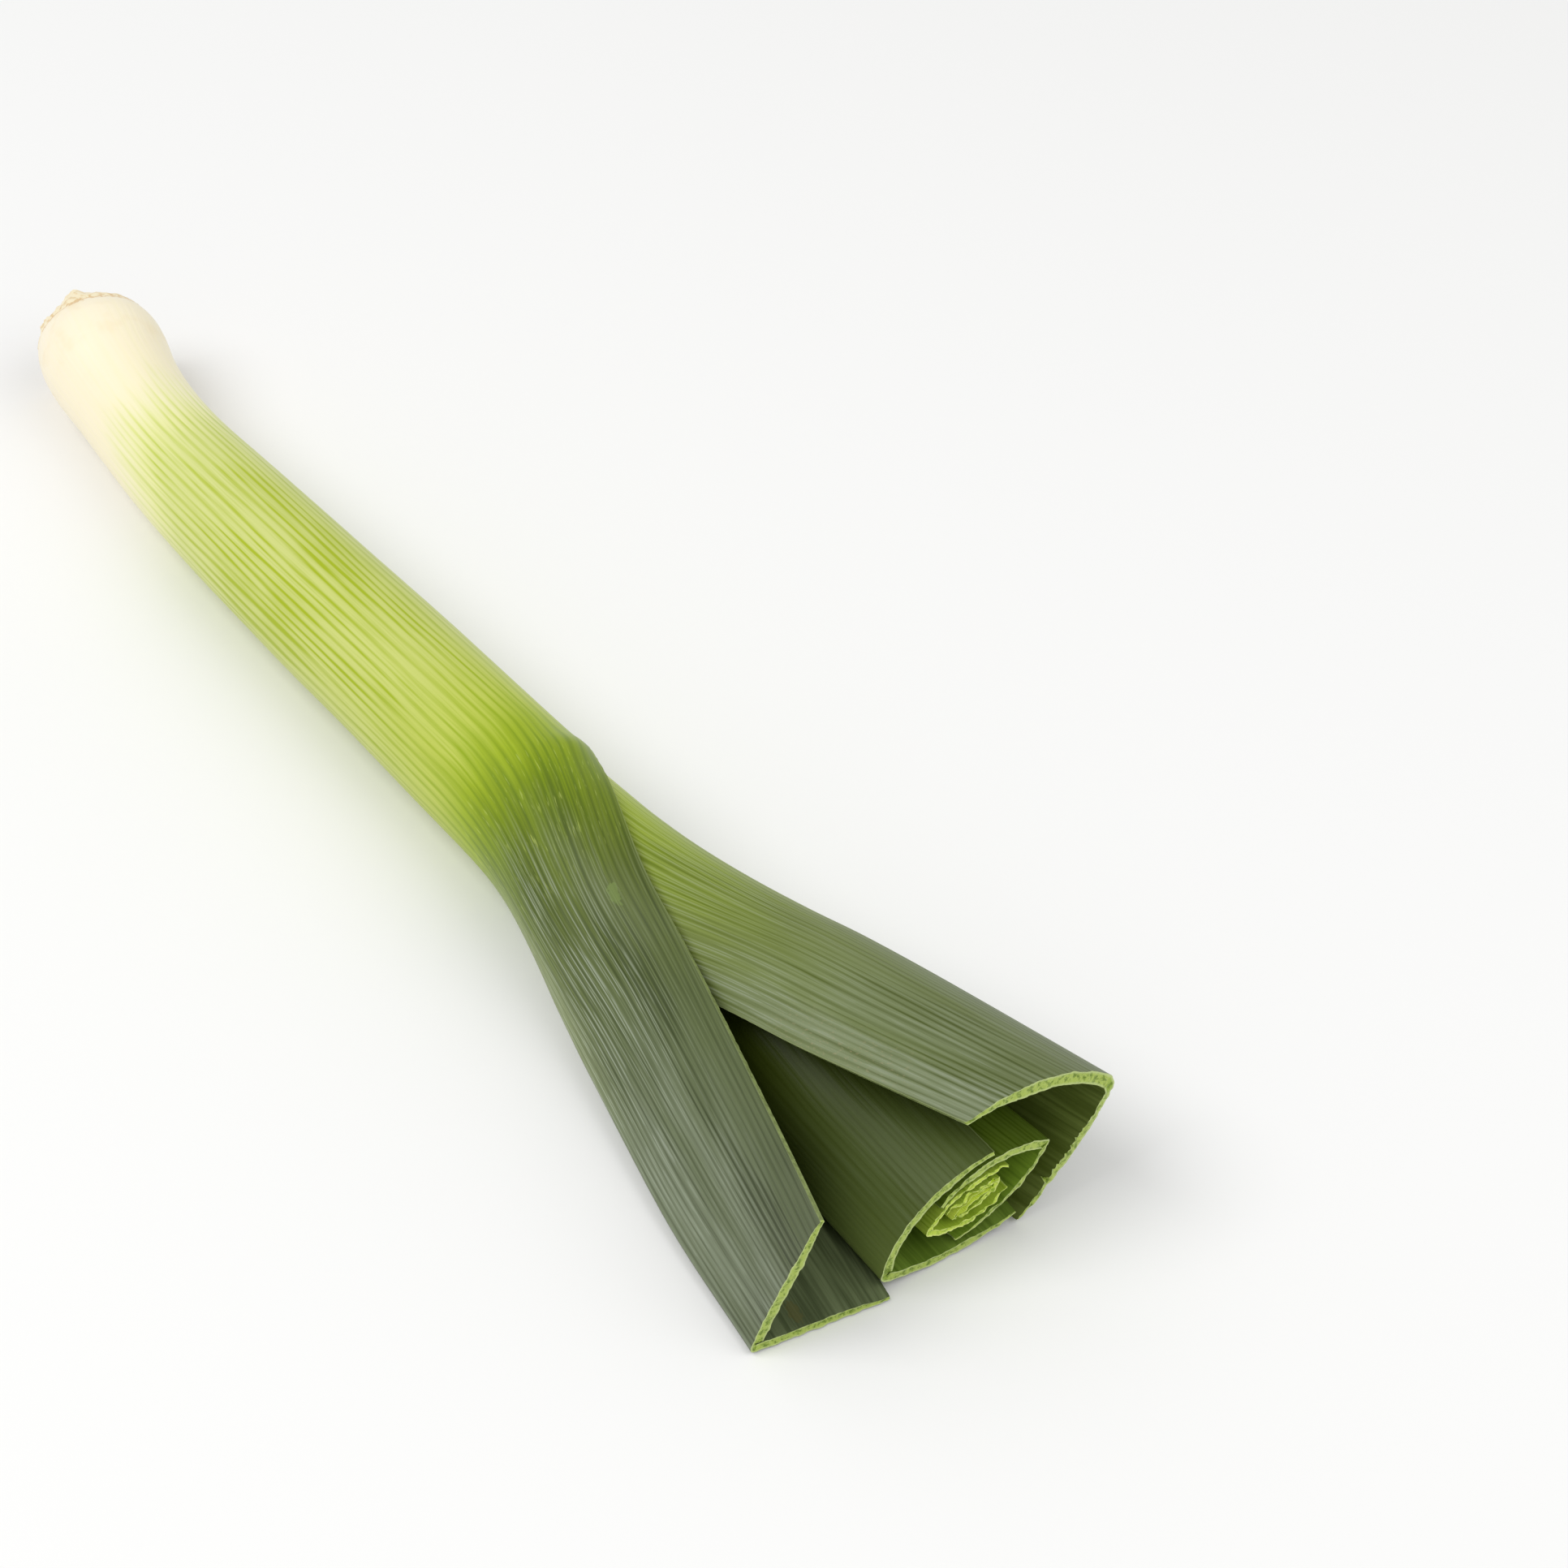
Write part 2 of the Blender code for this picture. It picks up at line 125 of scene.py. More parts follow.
# Each leaf's place in the fan, and how finely it is modelled: the columns across it, the station that it
# shows from, and how ragged its cut is. A leaf that says nothing else starts and leans as the inner ones do.
INNER_LEAN = (0.0, CUT_SLANT)
INNER_LEAF = {"start": INNER_START, "lean": INNER_LEAN}
LEAVES = [
    {
        "name": "outer_leaf", "side": -1, "start": ROOT_STATION, "lean": (0.0038, 0.22), "mouth": 0.200,
        "blade": OUTER_BLADE, "walls": (0.0023, 0.0021), "columns": 160, "shows": 0.184, "ragged": 0.00024,
    },
    {
        "name": "second_leaf", "side": 1, "mouth": 0.232, "blade": SECOND_BLADE, "walls": (0.0026, 0.0026),
        "columns": 160, "shows": 0.204, "ragged": 0.00034, "keel": 0.10, "torn": (-0.80, -0.28),
    },
    {
        "name": "third_leaf", "side": -1, "mouth": 0.262, "blade": THIRD_BLADE, "walls": (0.0023, 0.0022),
        "columns": 128, "shows": 0.240, "ragged": 0.00022,
    },
    {
        "name": "fourth_leaf", "side": 1, "mouth": 0.280, "blade": FOURTH_BLADE, "walls": (0.0021, 0.0014),
        "columns": 112, "shows": 0.280, "ragged": 0.00030,
    },
    {
        "name": "fifth_leaf", "side": -1, "mouth": 0.300, "blade": FIFTH_BLADE, "walls": (0.0013, 0.0013),
        "columns": 96, "shows": 0.300, "ragged": 0.00060,
    },
    {
        "name": "sixth_leaf", "side": 1, "mouth": 0.318, "blade": SIXTH_BLADE, "walls": (0.0010, 0.0010),
        "columns": 96, "shows": 0.310, "ragged": 0.00080,
    },
]
HEART_LEVEL = 6
HEART_SIDE = -1

# The heart's folds, outermost first: level in the shaft, half width and half height at the cut, how far the
# end stands back from the cut
HEART_FOLDS = [
    (6.0, (0.0056, 0.00130), 0.0), (6.5, (0.0043, 0.00085), -0.0006), (7.0, (0.0030, 0.00045), 0.0004),
]
HEART_WALL = 0.00038
HEART_WALL_SHARE = 0.66
HEART_COLUMNS = 64
HEART_SHOWS = 0.320
HEART_RAGGED = 0.0004

# Ragged rim left where the roots were sliced off, and the plate with the stumps of its roots
RIM_WAVES = 7
RIM_WAVE_HEIGHT = 0.0006
RIM_FLAP_HEIGHT = 0.0030
RIM_FLAP_PLACE = 0.63
RIM_FLAP_SLOPE = 0.14
RIM_FLAP_DROP = 0.035
RIM_TEETH = 0.00055
RIM_GROOVE = 0.25
RIM_DEPTH = 0.0045
RIM_CURL = 0.00038
RIM_BREADTH = 0.0020
RIM_TILT = 0.0036
RIM_TILT_PLACE = 0.80
PLATE_FACE = 0.0048
PLATE_BACK = 0.0090
PLATE_SIDES = 72
PLATE_RINGS = 10
PLATE_RING_STEP = 0.0006
PLATE_ROUGHNESS = 0.00022
PLATE_FACE_SHARES = (0.02, 0.82)
STUMP_RADIUS = 0.0008
STUMP_LENGTH = 0.0012
STUMP_SINK = 0.0010
STUMP_TAPER = 0.8
STUMP_RAGGED = 0.35
STUMP_SIDES = 14
STUMP_RINGS = [(0.0032, 5), (0.0068, 10)]
SMALL_STUMPS = 9
SMALL_STUMP_RING = 0.0050
SMALL_STUMP_WANDER = 0.0004
SMALL_STUMP_RADIUS = 0.00044
SMALL_STUMP_SIDES = 10

# Fine shape
ROOT_ROWS = 0.0005
ROOT_END = 0.0140
SHAFT_ROWS = 0.0035
HIDDEN_ROWS = 0.0060
BLADE_ROWS = 0.0011
CUT_ROWS = 0.0004
CUT_REACH = 0.0030
WALL_CUTS = 4
LUMP = 0.00016
RIB = 0.00006
RIB_WIDTH = 0.0021
PLEAT = 0.00014
PLEAT_REACH = 0.014
BUMP_HEIGHT = 0.0009
BUMP_PLACE = (0.2045, 0.88)
BUMP_REACH = (0.0045, 0.12)
NECK_SOFTNESS = 0.0075
NECK_PASSES = 3
NECK_START = 0.0150
NECK_END = 0.0450
SPONGE = 0.00022
GOUGE = 0.0022
NICK = 0.00012
SEAM_FREE = 0.2
MERGE = 1e-6
MATERIAL_SLOTS = 6
SHARP_ANGLE = 50
PLATE_SHARP_ANGLE = 40

# The lay of a leaf's pattern: metres round the leaf from its keel, and metres along it
HALF_GIRTH = 0.050

# Camera: where it stands in the part's own stations, and the way it looks
CAMERA_PLACE = (0.60703, -0.24849, 0.49497)
CAMERA_AZIMUTH = math.radians(52.1)
CAMERA_ELEVATION = math.radians(45)
CAMERA_LENS = 75


def smooth_through(rows, x):
    """The values of a row list at x, on a smooth curve through the rows. A row is x and then its values."""
    if x <= rows[0][0]:
        return list(rows[0][1:])
    if x >= rows[-1][0]:
        return list(rows[-1][1:])
    i = max(k for k in range(len(rows) - 1) if rows[k][0] <= x)
    here, there = rows[i], rows[i + 1]
    before, after = rows[max(i - 1, 0)], rows[min(i + 2, len(rows) - 1)]
    span = there[0] - here[0]
    t = (x - here[0]) / span
    values = []
    for k in range(1, len(here)):
        leave = (there[k] - before[k]) / (there[0] - before[0]) * span
        arrive = (after[k] - here[k]) / (after[0] - here[0]) * span
        values.append(
            (2 * t**3 - 3 * t**2 + 1) * here[k] + (t**3 - 2 * t**2 + t) * leave
            + (3 * t**2 - 2 * t**3) * there[k] + (t**3 - t**2) * arrive
        )
    return values


def ease(t):
    t = min(max(t, 0.0), 1.0)
    return t * t * (3 - 2 * t)


def mix(a, b, share):
    return a + (b - a) * share


def core_centre(x):
    """Sideways place and height of the middle of the leek."""
    if x <= OUTER_MOUTH:
        radius = smooth_through(SHAFT_RADIUS, x)[0]
        return smooth_through(SHAFT_AXIS, x)[0], radius * math.cos(math.pi / PART_COLUMNS)
    return tuple(smooth_through(CORE_PATH, x))


def heading_at(x):
    """The direction that the shaft's axis runs in at station x, as an angle off +X."""
    if x > BEND_END:
        return 0.0
    step = 0.001
    slope = (core_centre(x + step)[0] - core_centre(x)[0]) / step
    return math.atan(slope) * ease((BEND_END - x) / BEND_FADE)


def closed_section(level, x, lens=None):
    """Centre, half width and arc half angle of a sheath: round in the shaft, flattening in the core."""
    flatten = ease((x - OUTER_MOUTH) / (CUT_STATION - OUTER_MOUTH))
    radius = smooth_through(SHAFT_RADIUS, x)[0] * (1 - LEVEL_STEP * level)
    lens = lens or LENS_AT_CUT[level]
    half_width = mix(radius, lens[0], flatten)
    half_height = mix(radius, lens[1], flatten)
    return core_centre(x), half_width, 2 * math.atan(half_height / half_width)


def closed_row(level, side, x, lens=None):
    """Keel, both margins and both bends of a leaf where its sheath is whole."""
    (y, z), half_width, bend = closed_section(level, x, lens)
    across = Vector((math.cos(FAN_TILT), math.sin(FAN_TILT))) * half_width * side
    centre = Vector((y, z))
    seam = centre - across
    return [*(centre + across), *seam, *seam, bend, bend]


def open_row(row):
    keel, upper, lower, bend_up, bend_low = row
    return [*keel, *upper, *lower, math.radians(bend_up), math.radians(bend_low)]


def leaf_row(leaf, x):
    """The leaf's keel, margins and bends at station x."""
    mouth = leaf["mouth"]
    if x <= mouth:
        return closed_row(leaf["level"], leaf["side"], x, leaf.get("lens"))
    table = [(mouth, *closed_row(leaf["level"], leaf["side"], mouth))]
    table += [(row[0], *open_row(row[1:])) for row in leaf["blade"]]
    return smooth_through(table, x)


def arc_point(start, end, bend, bulge_side, t):
    """A point on the arc from start to end that bows through twice the bend angle."""
    chord = end - start
    normal = Vector((-chord.y, chord.x)).normalized() * bulge_side
    bend = max(bend, math.radians(1))
    radius = chord.length / (2 * math.sin(bend))
    turn = bend * (2 * t - 1)
    along = start + chord / 2 + chord.normalized() * radius * math.sin(turn)
    return along + normal * radius * (math.cos(turn) - math.cos(bend))


def flank_point(side, row, across):
    """The outer surface at across: -1 is the lower margin, 0 the keel and 1 the upper margin."""
    keel = Vector(row[0:2])
    upper = across >= 0
    margin = Vector(row[2:4] if upper else row[4:6])
    return arc_point(keel, margin, row[6 if upper else 7], -side if upper else side, abs(across))


def rounded_point(side, row, across, softness=KEEL_SOFTNESS):
    """The outer surface with its keel rounded off where the blade is folded."""
    folded = 1 - (row[6] + row[7]) / math.pi
    reach = softness * folded * max(0.0, 1 - abs(across) / KEEL_REACH)
    points = [flank_point(side, row, across + d) for d in (-reach, 0.0, reach)]
    return (points[0] + points[1] + points[2]) / 3


def placed(x, point, lean=INNER_LEAN):
    """A section's (y, z) point in space. Sections of the bent bulb stand square to its axis."""
    heading = heading_at(x)
    centre_y = core_centre(x)[0]
    aside = point[0] - centre_y
    forward = (lean[0] + lean[1] * point[0]) * ease((x - OUTER_MOUTH) / (CUT_STATION - OUTER_MOUTH))
    return Vector((
        x - math.sin(heading) * aside + forward,
        centre_y + math.cos(heading) * aside,
        max(point[1], 0.0),
    ))


def wall_at(leaf, x, across):
    """The wall's thickness. A whole sheath is even all round, a blade has a thick keel and thin margins."""
    if x <= leaf["mouth"]:
        return leaf.get("sheath", SHEATH_WALL)
    opened = ease((x - leaf["mouth"]) / (CUT_STATION - leaf["mouth"]))
    upper, lower = leaf["walls"]
    at_cut = mix(lower, upper, ease(across / KEEL_BREADTH + 0.5))
    flank = mix(SHEATH_WALL, at_cut, opened)
    keel = mix(1.0, KEEL_THICKENING, opened * math.exp(-((across / KEEL_BREADTH) ** 2)))
    margin = mix(1.0, MARGIN_SHARE, opened * ease((abs(across) - 1 + MARGIN_BREADTH) / MARGIN_BREADTH))
    return flank * keel * margin


def frame_shift():
    """From the part's stations to the frame: the heart's first ring gives its lowest x and its highest y."""
    row = closed_row(HEART_LEVEL, HEART_SIDE, INNER_START)
    steps = [k / (PART_COLUMNS / 2) - 1 for k in range(PART_COLUMNS + 1)]
    ring = [placed(INNER_START, flank_point(HEART_SIDE, row, across)) for across in steps]
    low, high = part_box("heart")
    return Vector((low.x - min(p.x for p in ring), high.y - max(p.y for p in ring), 0.0))


SHIFT = frame_shift()


def uneven(x, y=0.0, z=0.0):
    """Smooth noise from -1 to 1."""
    return noise.noise(Vector((x, y, z)))


def spread(start, end, step):
    """Even stations from start up to end, without the end."""
    count = max(1, round((end - start) / step))
    return [mix(start, end, k / count) for k in range(count)]


def fine_stations(leaf):
    """Where the leaf's cross sections stand: close together at a ragged end and in the part that shows."""
    cut = CUT_STATION - CUT_REACH
    if leaf["start"] == ROOT_STATION:
        stations = spread(ROOT_STATION, ROOT_END, ROOT_ROWS) + spread(ROOT_END, leaf["shows"], SHAFT_ROWS)
    else:
        stations = spread(leaf["start"], leaf["shows"], HIDDEN_ROWS)
    stations += spread(leaf["shows"], cut, BLADE_ROWS)
    return stations + spread(cut, CUT_STATION, CUT_ROWS) + [CUT_STATION]


def rim_shift(across):
    """How far the sliced rim stands out towards -X: the part's waves and pointed flap, with torn teeth."""
    wave = RIM_WAVE_HEIGHT * math.sin(RIM_WAVES * math.pi * across)
    teeth = RIM_TEETH * (uneven(across * 30, 5.0) + 0.8 * uneven(across * 75, 9.0))
    reach = RIM_FLAP_SLOPE if across < RIM_FLAP_PLACE else RIM_FLAP_DROP
    flap = RIM_FLAP_HEIGHT * max(0.0, 1 - abs(across - RIM_FLAP_PLACE) / reach)
    return max(wave + teeth, flap)


def rim_breadth(across):
    """How far the torn rim reaches along the leaf: furthest where the slice ran aslant."""
    return RIM_BREADTH + RIM_TILT * (0.5 + 0.5 * math.cos(math.pi * (across - RIM_TILT_PLACE))) ** 2


def rim_relief(x, across):
    """The rim curls outwards in torn lumps, behind a shallow groove where the skin begins."""
    inwards = (x - ROOT_STATION) / rim_breadth(across)
    lumps = 0.4 + 0.9 * uneven(across * 24, x * 260, 3.0) + 0.5 * uneven(across * 60, x * 500, 7.0)
    curl = RIM_CURL * ease(2 - 2 * inwards) * lumps
    return curl - 0.5 * RIM_CURL * math.exp(-(((inwards - 1) / RIM_GROOVE) ** 2))


def relief(leaf, x, across):
    """How far the skin stands proud: soft lumps, fine ribs on the blade, and pleats at the neck."""
    seed = 10.0 * leaf["level"]
    lump = LUMP * uneven(across * 4, x * 30, seed)
    blade = ease((x - leaf["mouth"] + 0.02) / 0.06)
    rib = RIB * blade * uneven(across * HALF_GIRTH / RIB_WIDTH, x * 12, seed + 3)
    if leaf["level"] > 0:
        return lump + rib
    neck = math.exp(-(((x - leaf["mouth"]) / PLEAT_REACH - 1) ** 2))
    pleat = PLEAT * neck * uneven(across * 12, x * 22, seed + 6)
    away = ((x - BUMP_PLACE[0]) / BUMP_REACH[0]) ** 2 + ((across - BUMP_PLACE[1]) / BUMP_REACH[1]) ** 2
    return lump + rib + pleat + rim_relief(x, across) + BUMP_HEIGHT * math.exp(-away)


def settled(places, k, j, span):
    """A point averaged with its neighbours along the leaf, so that its lines turn softly at the neck."""
    near = [places[n][j] for n in range(k - span, k + span + 1)]
    return sum(near, Vector()) / len(near)


def leaf_places(leaf, stations):
    """The outer surface's points, station by station, with the neck smoothed and the sheath left shut."""
    half = leaf["columns"] // 2
    softness = leaf.get("keel", KEEL_SOFTNESS)
    places = []
    for x in stations:
        row = leaf_row(leaf, x)
        points = [rounded_point(leaf["side"], row, j / half, softness) for j in range(-half, half + 1)]
        places.append([placed(x, point, leaf["lean"]) for point in points])
    for _ in range(NECK_PASSES):
        places = smoothed_neck(leaf, stations, places)
    return places


def smoothed_neck(leaf, stations, places):
    """Averages the points at the leaf's neck along the leaf. The seam stays shut up to the mouth."""
    half = leaf["columns"] // 2
    first = sum(x < leaf["shows"] for x in stations)
    mouth = sum(x <= leaf["mouth"] for x in stations) - 1
    smooth = [list(line) for line in places]
    for k, x in enumerate(stations):
        onset = ease((x - leaf["mouth"] + NECK_START) / NECK_START)
        neck = onset * ease((leaf["mouth"] + NECK_END - x) / NECK_START)
        for j in range(2 * half + 1):
            free = ease((1 - abs(j / half - 1)) / SEAM_FREE)
            span = round(NECK_SOFTNESS / BLADE_ROWS * neck * free)
            span = max(span, min(round(NECK_SOFTNESS / BLADE_ROWS * neck), k - mouth))
            span = min(span, k - first, len(stations) - 1 - k)
            if span > 0:
                smooth[k][j] = settled(places, k, j, span)
    return smooth


def leaf_grid(leaf):
    """The leaf's outer surface as a bent grid, welded along its sheath, with its lay as a UV map."""
    stations = fine_stations(leaf)
    rows, columns = len(stations) - 1, leaf["columns"]
    bm = bmesh.new()
    bmesh.ops.create_grid(bm, x_segments=rows, y_segments=columns, size=1.0)
    lay = bm.loops.layers.uv.new("lay")
    walls = bm.verts.layers.deform.verify()
    height = bm.verts.layers.float.new("height")
    station = bm.verts.layers.float.new("station")
    side_place = bm.verts.layers.float.new("across")
    places = leaf_places(leaf, stations)
    seam = []
    for vert in bm.verts:
        k = round((vert.co.x + 1) / 2 * rows)
        j = round((vert.co.y + 1) / 2 * columns)
        x = stations[k]
        across = 2 * j / columns - 1
        for loop in vert.link_loops:
            loop[lay].uv = (across * HALF_GIRTH, x)
        vert[walls][0] = wall_at(leaf, x, across) / THICKEST_WALL
        vert[height] = relief(leaf, x, across)
        vert[station] = x
        vert[side_place] = across
        vert.co = places[k][j] + SHIFT
        if x < ROOT_STATION + RIM_DEPTH:
            vert.co.x -= rim_shift(across) * (1 - (x - ROOT_STATION) / RIM_DEPTH)
        if abs(across) == 1.0 and x <= leaf["mouth"]:
            seam.append(vert)
    bmesh.ops.remove_doubles(bm, verts=seam, dist=MERGE)
    if leaf["side"] > 0:
        bmesh.ops.reverse_faces(bm, faces=bm.faces[:])
    bm.normal_update()
    moves = [(vert, vert.normal * vert[height]) for vert in bm.verts]
    for vert, move in moves:
        vert.co += move
        vert.co.z = max(vert.co.z, 0.0)
    return bm


def walled(bm, leaf):
    """Gives the grid its wall. The lining has its own material, and so have the margins and the cut."""
    station = bm.verts.layers.float["station"]
    for face in bm.faces:
        at_cut = max(v[station] for v in face.verts) > CUT_STATION - MERGE
        at_root = min(v[station] for v in face.verts) < leaf["start"] + MERGE
        face.material_index = 3 if at_cut or (at_root and leaf["start"] > ROOT_STATION) else 0
    mesh = bpy.data.meshes.new(leaf["name"])
    bm.to_mesh(mesh)
    bm.free()
    shell = bpy.data.objects.new(leaf["name"], mesh)
    bpy.context.collection.objects.link(shell)
    group = shell.vertex_groups.new(name="wall")
    wall = shell.modifiers.new("wall", "SOLIDIFY")
    wall.thickness = THICKEST_WALL
    wall.offset = -1.0
    wall.vertex_group = group.name
    wall.use_even_offset = leaf["level"] < HEART_LEVEL
    wall.material_offset = 1
    wall.material_offset_rim = 2
    for _ in range(MATERIAL_SLOTS):
        mesh.materials.append(None)
    graph = bpy.context.evaluated_depsgraph_get()
    solid = bpy.data.meshes.new_from_object(
        shell.evaluated_get(graph), preserve_all_data_layers=True, depsgraph=graph,
    )
    shell.modifiers.clear()
    shell.data = solid
    return shell


def torn(leaf, across, depth, seed):
    """How far back the knife has torn the flesh: deep bites in the leaf's rough stretch, from the inside."""
    if "torn" not in leaf:
        return 0.0
    low, high = leaf["torn"]
    window = ease((across - low) / 0.08) * ease((high - across) / 0.08)
    bite = max(0.0, uneven(across * 26, seed + 4) + 0.5 * uneven(across * 60, seed + 5))
    return GOUGE * window * bite * ease(depth * 1.5 - 0.3)


def rough_at(place, coarse, fine, share, seed):
    """Uneven over the cut's face, with a finer grain added by a share. Places are in millimetres."""
    broad = uneven(place.y * coarse, place.z * coarse, seed)
    return broad + share * uneven(place.y * fine, place.z * fine, seed)


def finish_ends(shell, leaf):
    """Cuts the wall's edge into fine strips, makes the cut spongy and ragged, and nicks the free margins."""
    bm = bmesh.new()
    bm.from_mesh(shell.data)
    depth = bm.verts.layers.float.new("depth")
    station = bm.verts.layers.float["station"]
    side_place = bm.verts.layers.float["across"]
    outside = len(bm.verts) // 2
    for vert in bm.verts:
        vert[depth] = float(vert.index >= outside)
    ties = [e for e in bm.edges if abs(e.verts[0][depth] - e.verts[1][depth]) > 0.5]
    bmesh.ops.subdivide_edges(bm, edges=ties, cuts=WALL_CUTS, use_grid_fill=True)
    seed = 10.0 * leaf["level"]
    for vert in bm.verts:
        x, across = vert[station], vert[side_place]
        place = vert.co * 1000
        near_cut = ease(1 - (CUT_STATION - x) / CUT_REACH)
        if near_cut > 0:
            wander = rough_at(place, 0.45, 1.3, 0.5, seed)
            vert.co.x += near_cut * (leaf["ragged"] * wander - torn(leaf, across, vert[depth], seed))
        if x > CUT_STATION - MERGE and 0.01 < vert[depth] < 0.99:
            pith = math.sin(math.pi * vert[depth])
            vert.co.x += SPONGE * (rough_at(place, 2.6, 6, 0.7, seed) - 0.6) * pith
        elif abs(across) > 0.999 and x > leaf["mouth"] + CUT_REACH:
            vert.co += vert.normal * NICK * uneven(x * 900, seed + 8)
    bm.normal_update()
    bm.to_mesh(shell.data)
    bm.free()
    return shell


def srgb(red, green, blue):
    """A colour given by its screen values, 0 to 255, as scene values."""
    def linear(value):
        value /= 255
        return value / 12.92 if value <= 0.04045 else ((value + 0.055) / 1.055) ** 2.4
    return (linear(red), linear(green), linear(blue), 1.0)


class Finish:
    """A material being wired up."""

    def __init__(self, name, roughness, specular=0.5):
        self.material = bpy.data.materials.new(name)
        self.material.use_nodes = True
        self.tree = self.material.node_tree
        self.shader = self.tree.nodes["Principled BSDF"]
        self.shader.inputs["Roughness"].default_value = roughness
        self.shader.inputs["Specular IOR Level"].default_value = specular
        self.shader.inputs["Metallic"].default_value = 0.0

    def feed(self, socket, value):
        if isinstance(value, bpy.types.NodeSocket):
            self.tree.links.new(value, socket)
        elif value is not None:
            socket.default_value = value

    def math(self, operation, a, b=None, c=None, clamp=False):
        node = self.tree.nodes.new("ShaderNodeMath")
        node.operation = operation
        node.use_clamp = clamp
        for socket, value in zip(node.inputs, (a, b, c)):
            self.feed(socket, value)
        return node.outputs[0]

    def plus(self, a, b, clamp=False):
        return self.math("ADD", a, b, clamp=clamp)

    def minus(self, a, b):
        return self.math("SUBTRACT", a, b)

    def times(self, a, b, clamp=False):
        return self.math("MULTIPLY", a, b, clamp=clamp)

    def times_plus(self, a, b, c):
        return self.math("MULTIPLY_ADD", a, b, c)

    def window(self, value, rise, full, fade, end):
        """1 from full to fade, easing to 0 at rise and at end."""
        return self.times(self.between(value, rise, full), self.between(value, fade, end, 1.0, 0.0))

    def between(self, value, low, high, to_low=0.0, to_high=1.0):
        """Eases a value from to_low at low to to_high at high."""
        node = self.tree.nodes.new("ShaderNodeMapRange")
        node.interpolation_type = "SMOOTHSTEP"
        for socket, given in zip(node.inputs, (value, low, high, to_low, to_high)):
            self.feed(socket, given)
        return node.outputs[0]

    def lay(self):
        """Metres round the leaf from its keel, and metres along it."""
        uv = self.tree.nodes.new("ShaderNodeUVMap")
        uv.uv_map = "lay"
        parts = self.tree.nodes.new("ShaderNodeSeparateXYZ")
        self.feed(parts.inputs[0], uv.outputs[0])
        self.across, self.along = parts.outputs[0], parts.outputs[1]
        return self.across, self.along

    def place(self):
        return self.tree.nodes.new("ShaderNodeTexCoord").outputs["Object"]

    def attribute(self, name):
        node = self.tree.nodes.new("ShaderNodeAttribute")
        node.attribute_name = name
        return node.outputs["Fac"]

    def vector(self, x, y, z):
        node = self.tree.nodes.new("ShaderNodeCombineXYZ")
        for socket, value in zip(node.inputs, (x, y, z)):
            self.feed(socket, value)
        return node.outputs[0]

    def grain(self, vector, scale=1.0, detail=2.0, roughness=0.5):
        node = self.tree.nodes.new("ShaderNodeTexNoise")
        self.feed(node.inputs["Vector"], vector)
        node.inputs["Scale"].default_value = scale
        node.inputs["Detail"].default_value = detail
        node.inputs["Roughness"].default_value = roughness
        return node.outputs[0]

    def streaks(self, width, length, seed, detail=2.0):
        """Noise drawn out along the leaf: width and length are one streak's size in metres."""
        across, along = self.math("DIVIDE", self.across, width), self.math("DIVIDE", self.along, length)
        return self.grain(self.vector(across, along, seed), detail=detail)

    def ramp(self, factor, stops):
        """A colour ramp from a list of (place, colour)."""
        node = self.tree.nodes.new("ShaderNodeValToRGB")
        self.feed(node.inputs[0], factor)
        elements = node.color_ramp.elements
        while len(elements) < len(stops):
            elements.new(0.5)
        for element, (place, colour) in zip(elements, stops):
            element.position = place
            element.color = colour
        return node.outputs[0]

    def mix(self, factor, a, b):
        node = self.tree.nodes.new("ShaderNodeMix")
        node.data_type = "RGBA"
        self.feed(node.inputs[0], factor)
        self.feed(node.inputs[6], a)
        self.feed(node.inputs[7], b)
        return node.outputs[2]

    def bump(self, height, distance, strength=1.0):
        node = self.tree.nodes.new("ShaderNodeBump")
        node.inputs["Strength"].default_value = strength
        node.inputs["Distance"].default_value = distance
        self.feed(node.inputs["Height"], height)
        self.feed(self.shader.inputs["Normal"], node.outputs[0])

    def colour(self, value):
        self.feed(self.shader.inputs["Base Color"], value)


# A leaf's colours run over its length. At the keel the waxy bloom, partly a painted sheen, starts earlier and
# the ground stays pale longer.
LEAF_LENGTH = 0.34
BLADE_START = 0.205
VEIN_SPACING = 0.0021
KEEL_LEAD = 0.018
KEEL_PALE = 0.007
PITH_DIAGONAL = 0.012
# whitish waxy bloom, partly a painted sheen standing in for the lamp's reflection on the blade
WAX_AND_SHEEN = srgb(164, 173, 154)
EDGE_SKIN = srgb(150, 163, 108)

# Colours of the marks on the leaves
STAIN = srgb(244, 226, 184)
RIM_PALE = srgb(249, 238, 204)
RIM_TAN = srgb(232, 206, 154)
RIM_LINE = srgb(222, 184, 124)
SCAR_GREEN = srgb(114, 136, 62)
SEAM_GREEN = srgb(160, 179, 36)
THREAD = srgb(196, 210, 110)
# pale keel at the neck: partly its own pale rim, partly painted light on the side turned from the key lamp
PALE_KEEL_AND_PAINTED_LIGHT = srgb(178, 190, 138)
SPECKS = srgb(160, 148, 112)
SECOND_KEEL = srgb(86, 101, 58)
THIRD_KEEL = srgb(118, 135, 68)
# painted shade on the third leaf's keel, under the outer leaf's margin
THIRD_PAINTED_SHADE = srgb(40, 50, 18)
BLOTCH_TAN = srgb(104, 96, 44)


def along_stops(stops):
    """Ramp stops given as (station, red, green, blue)."""
    return [(station / LEAF_LENGTH, srgb(*colour)) for station, *colour in stops]


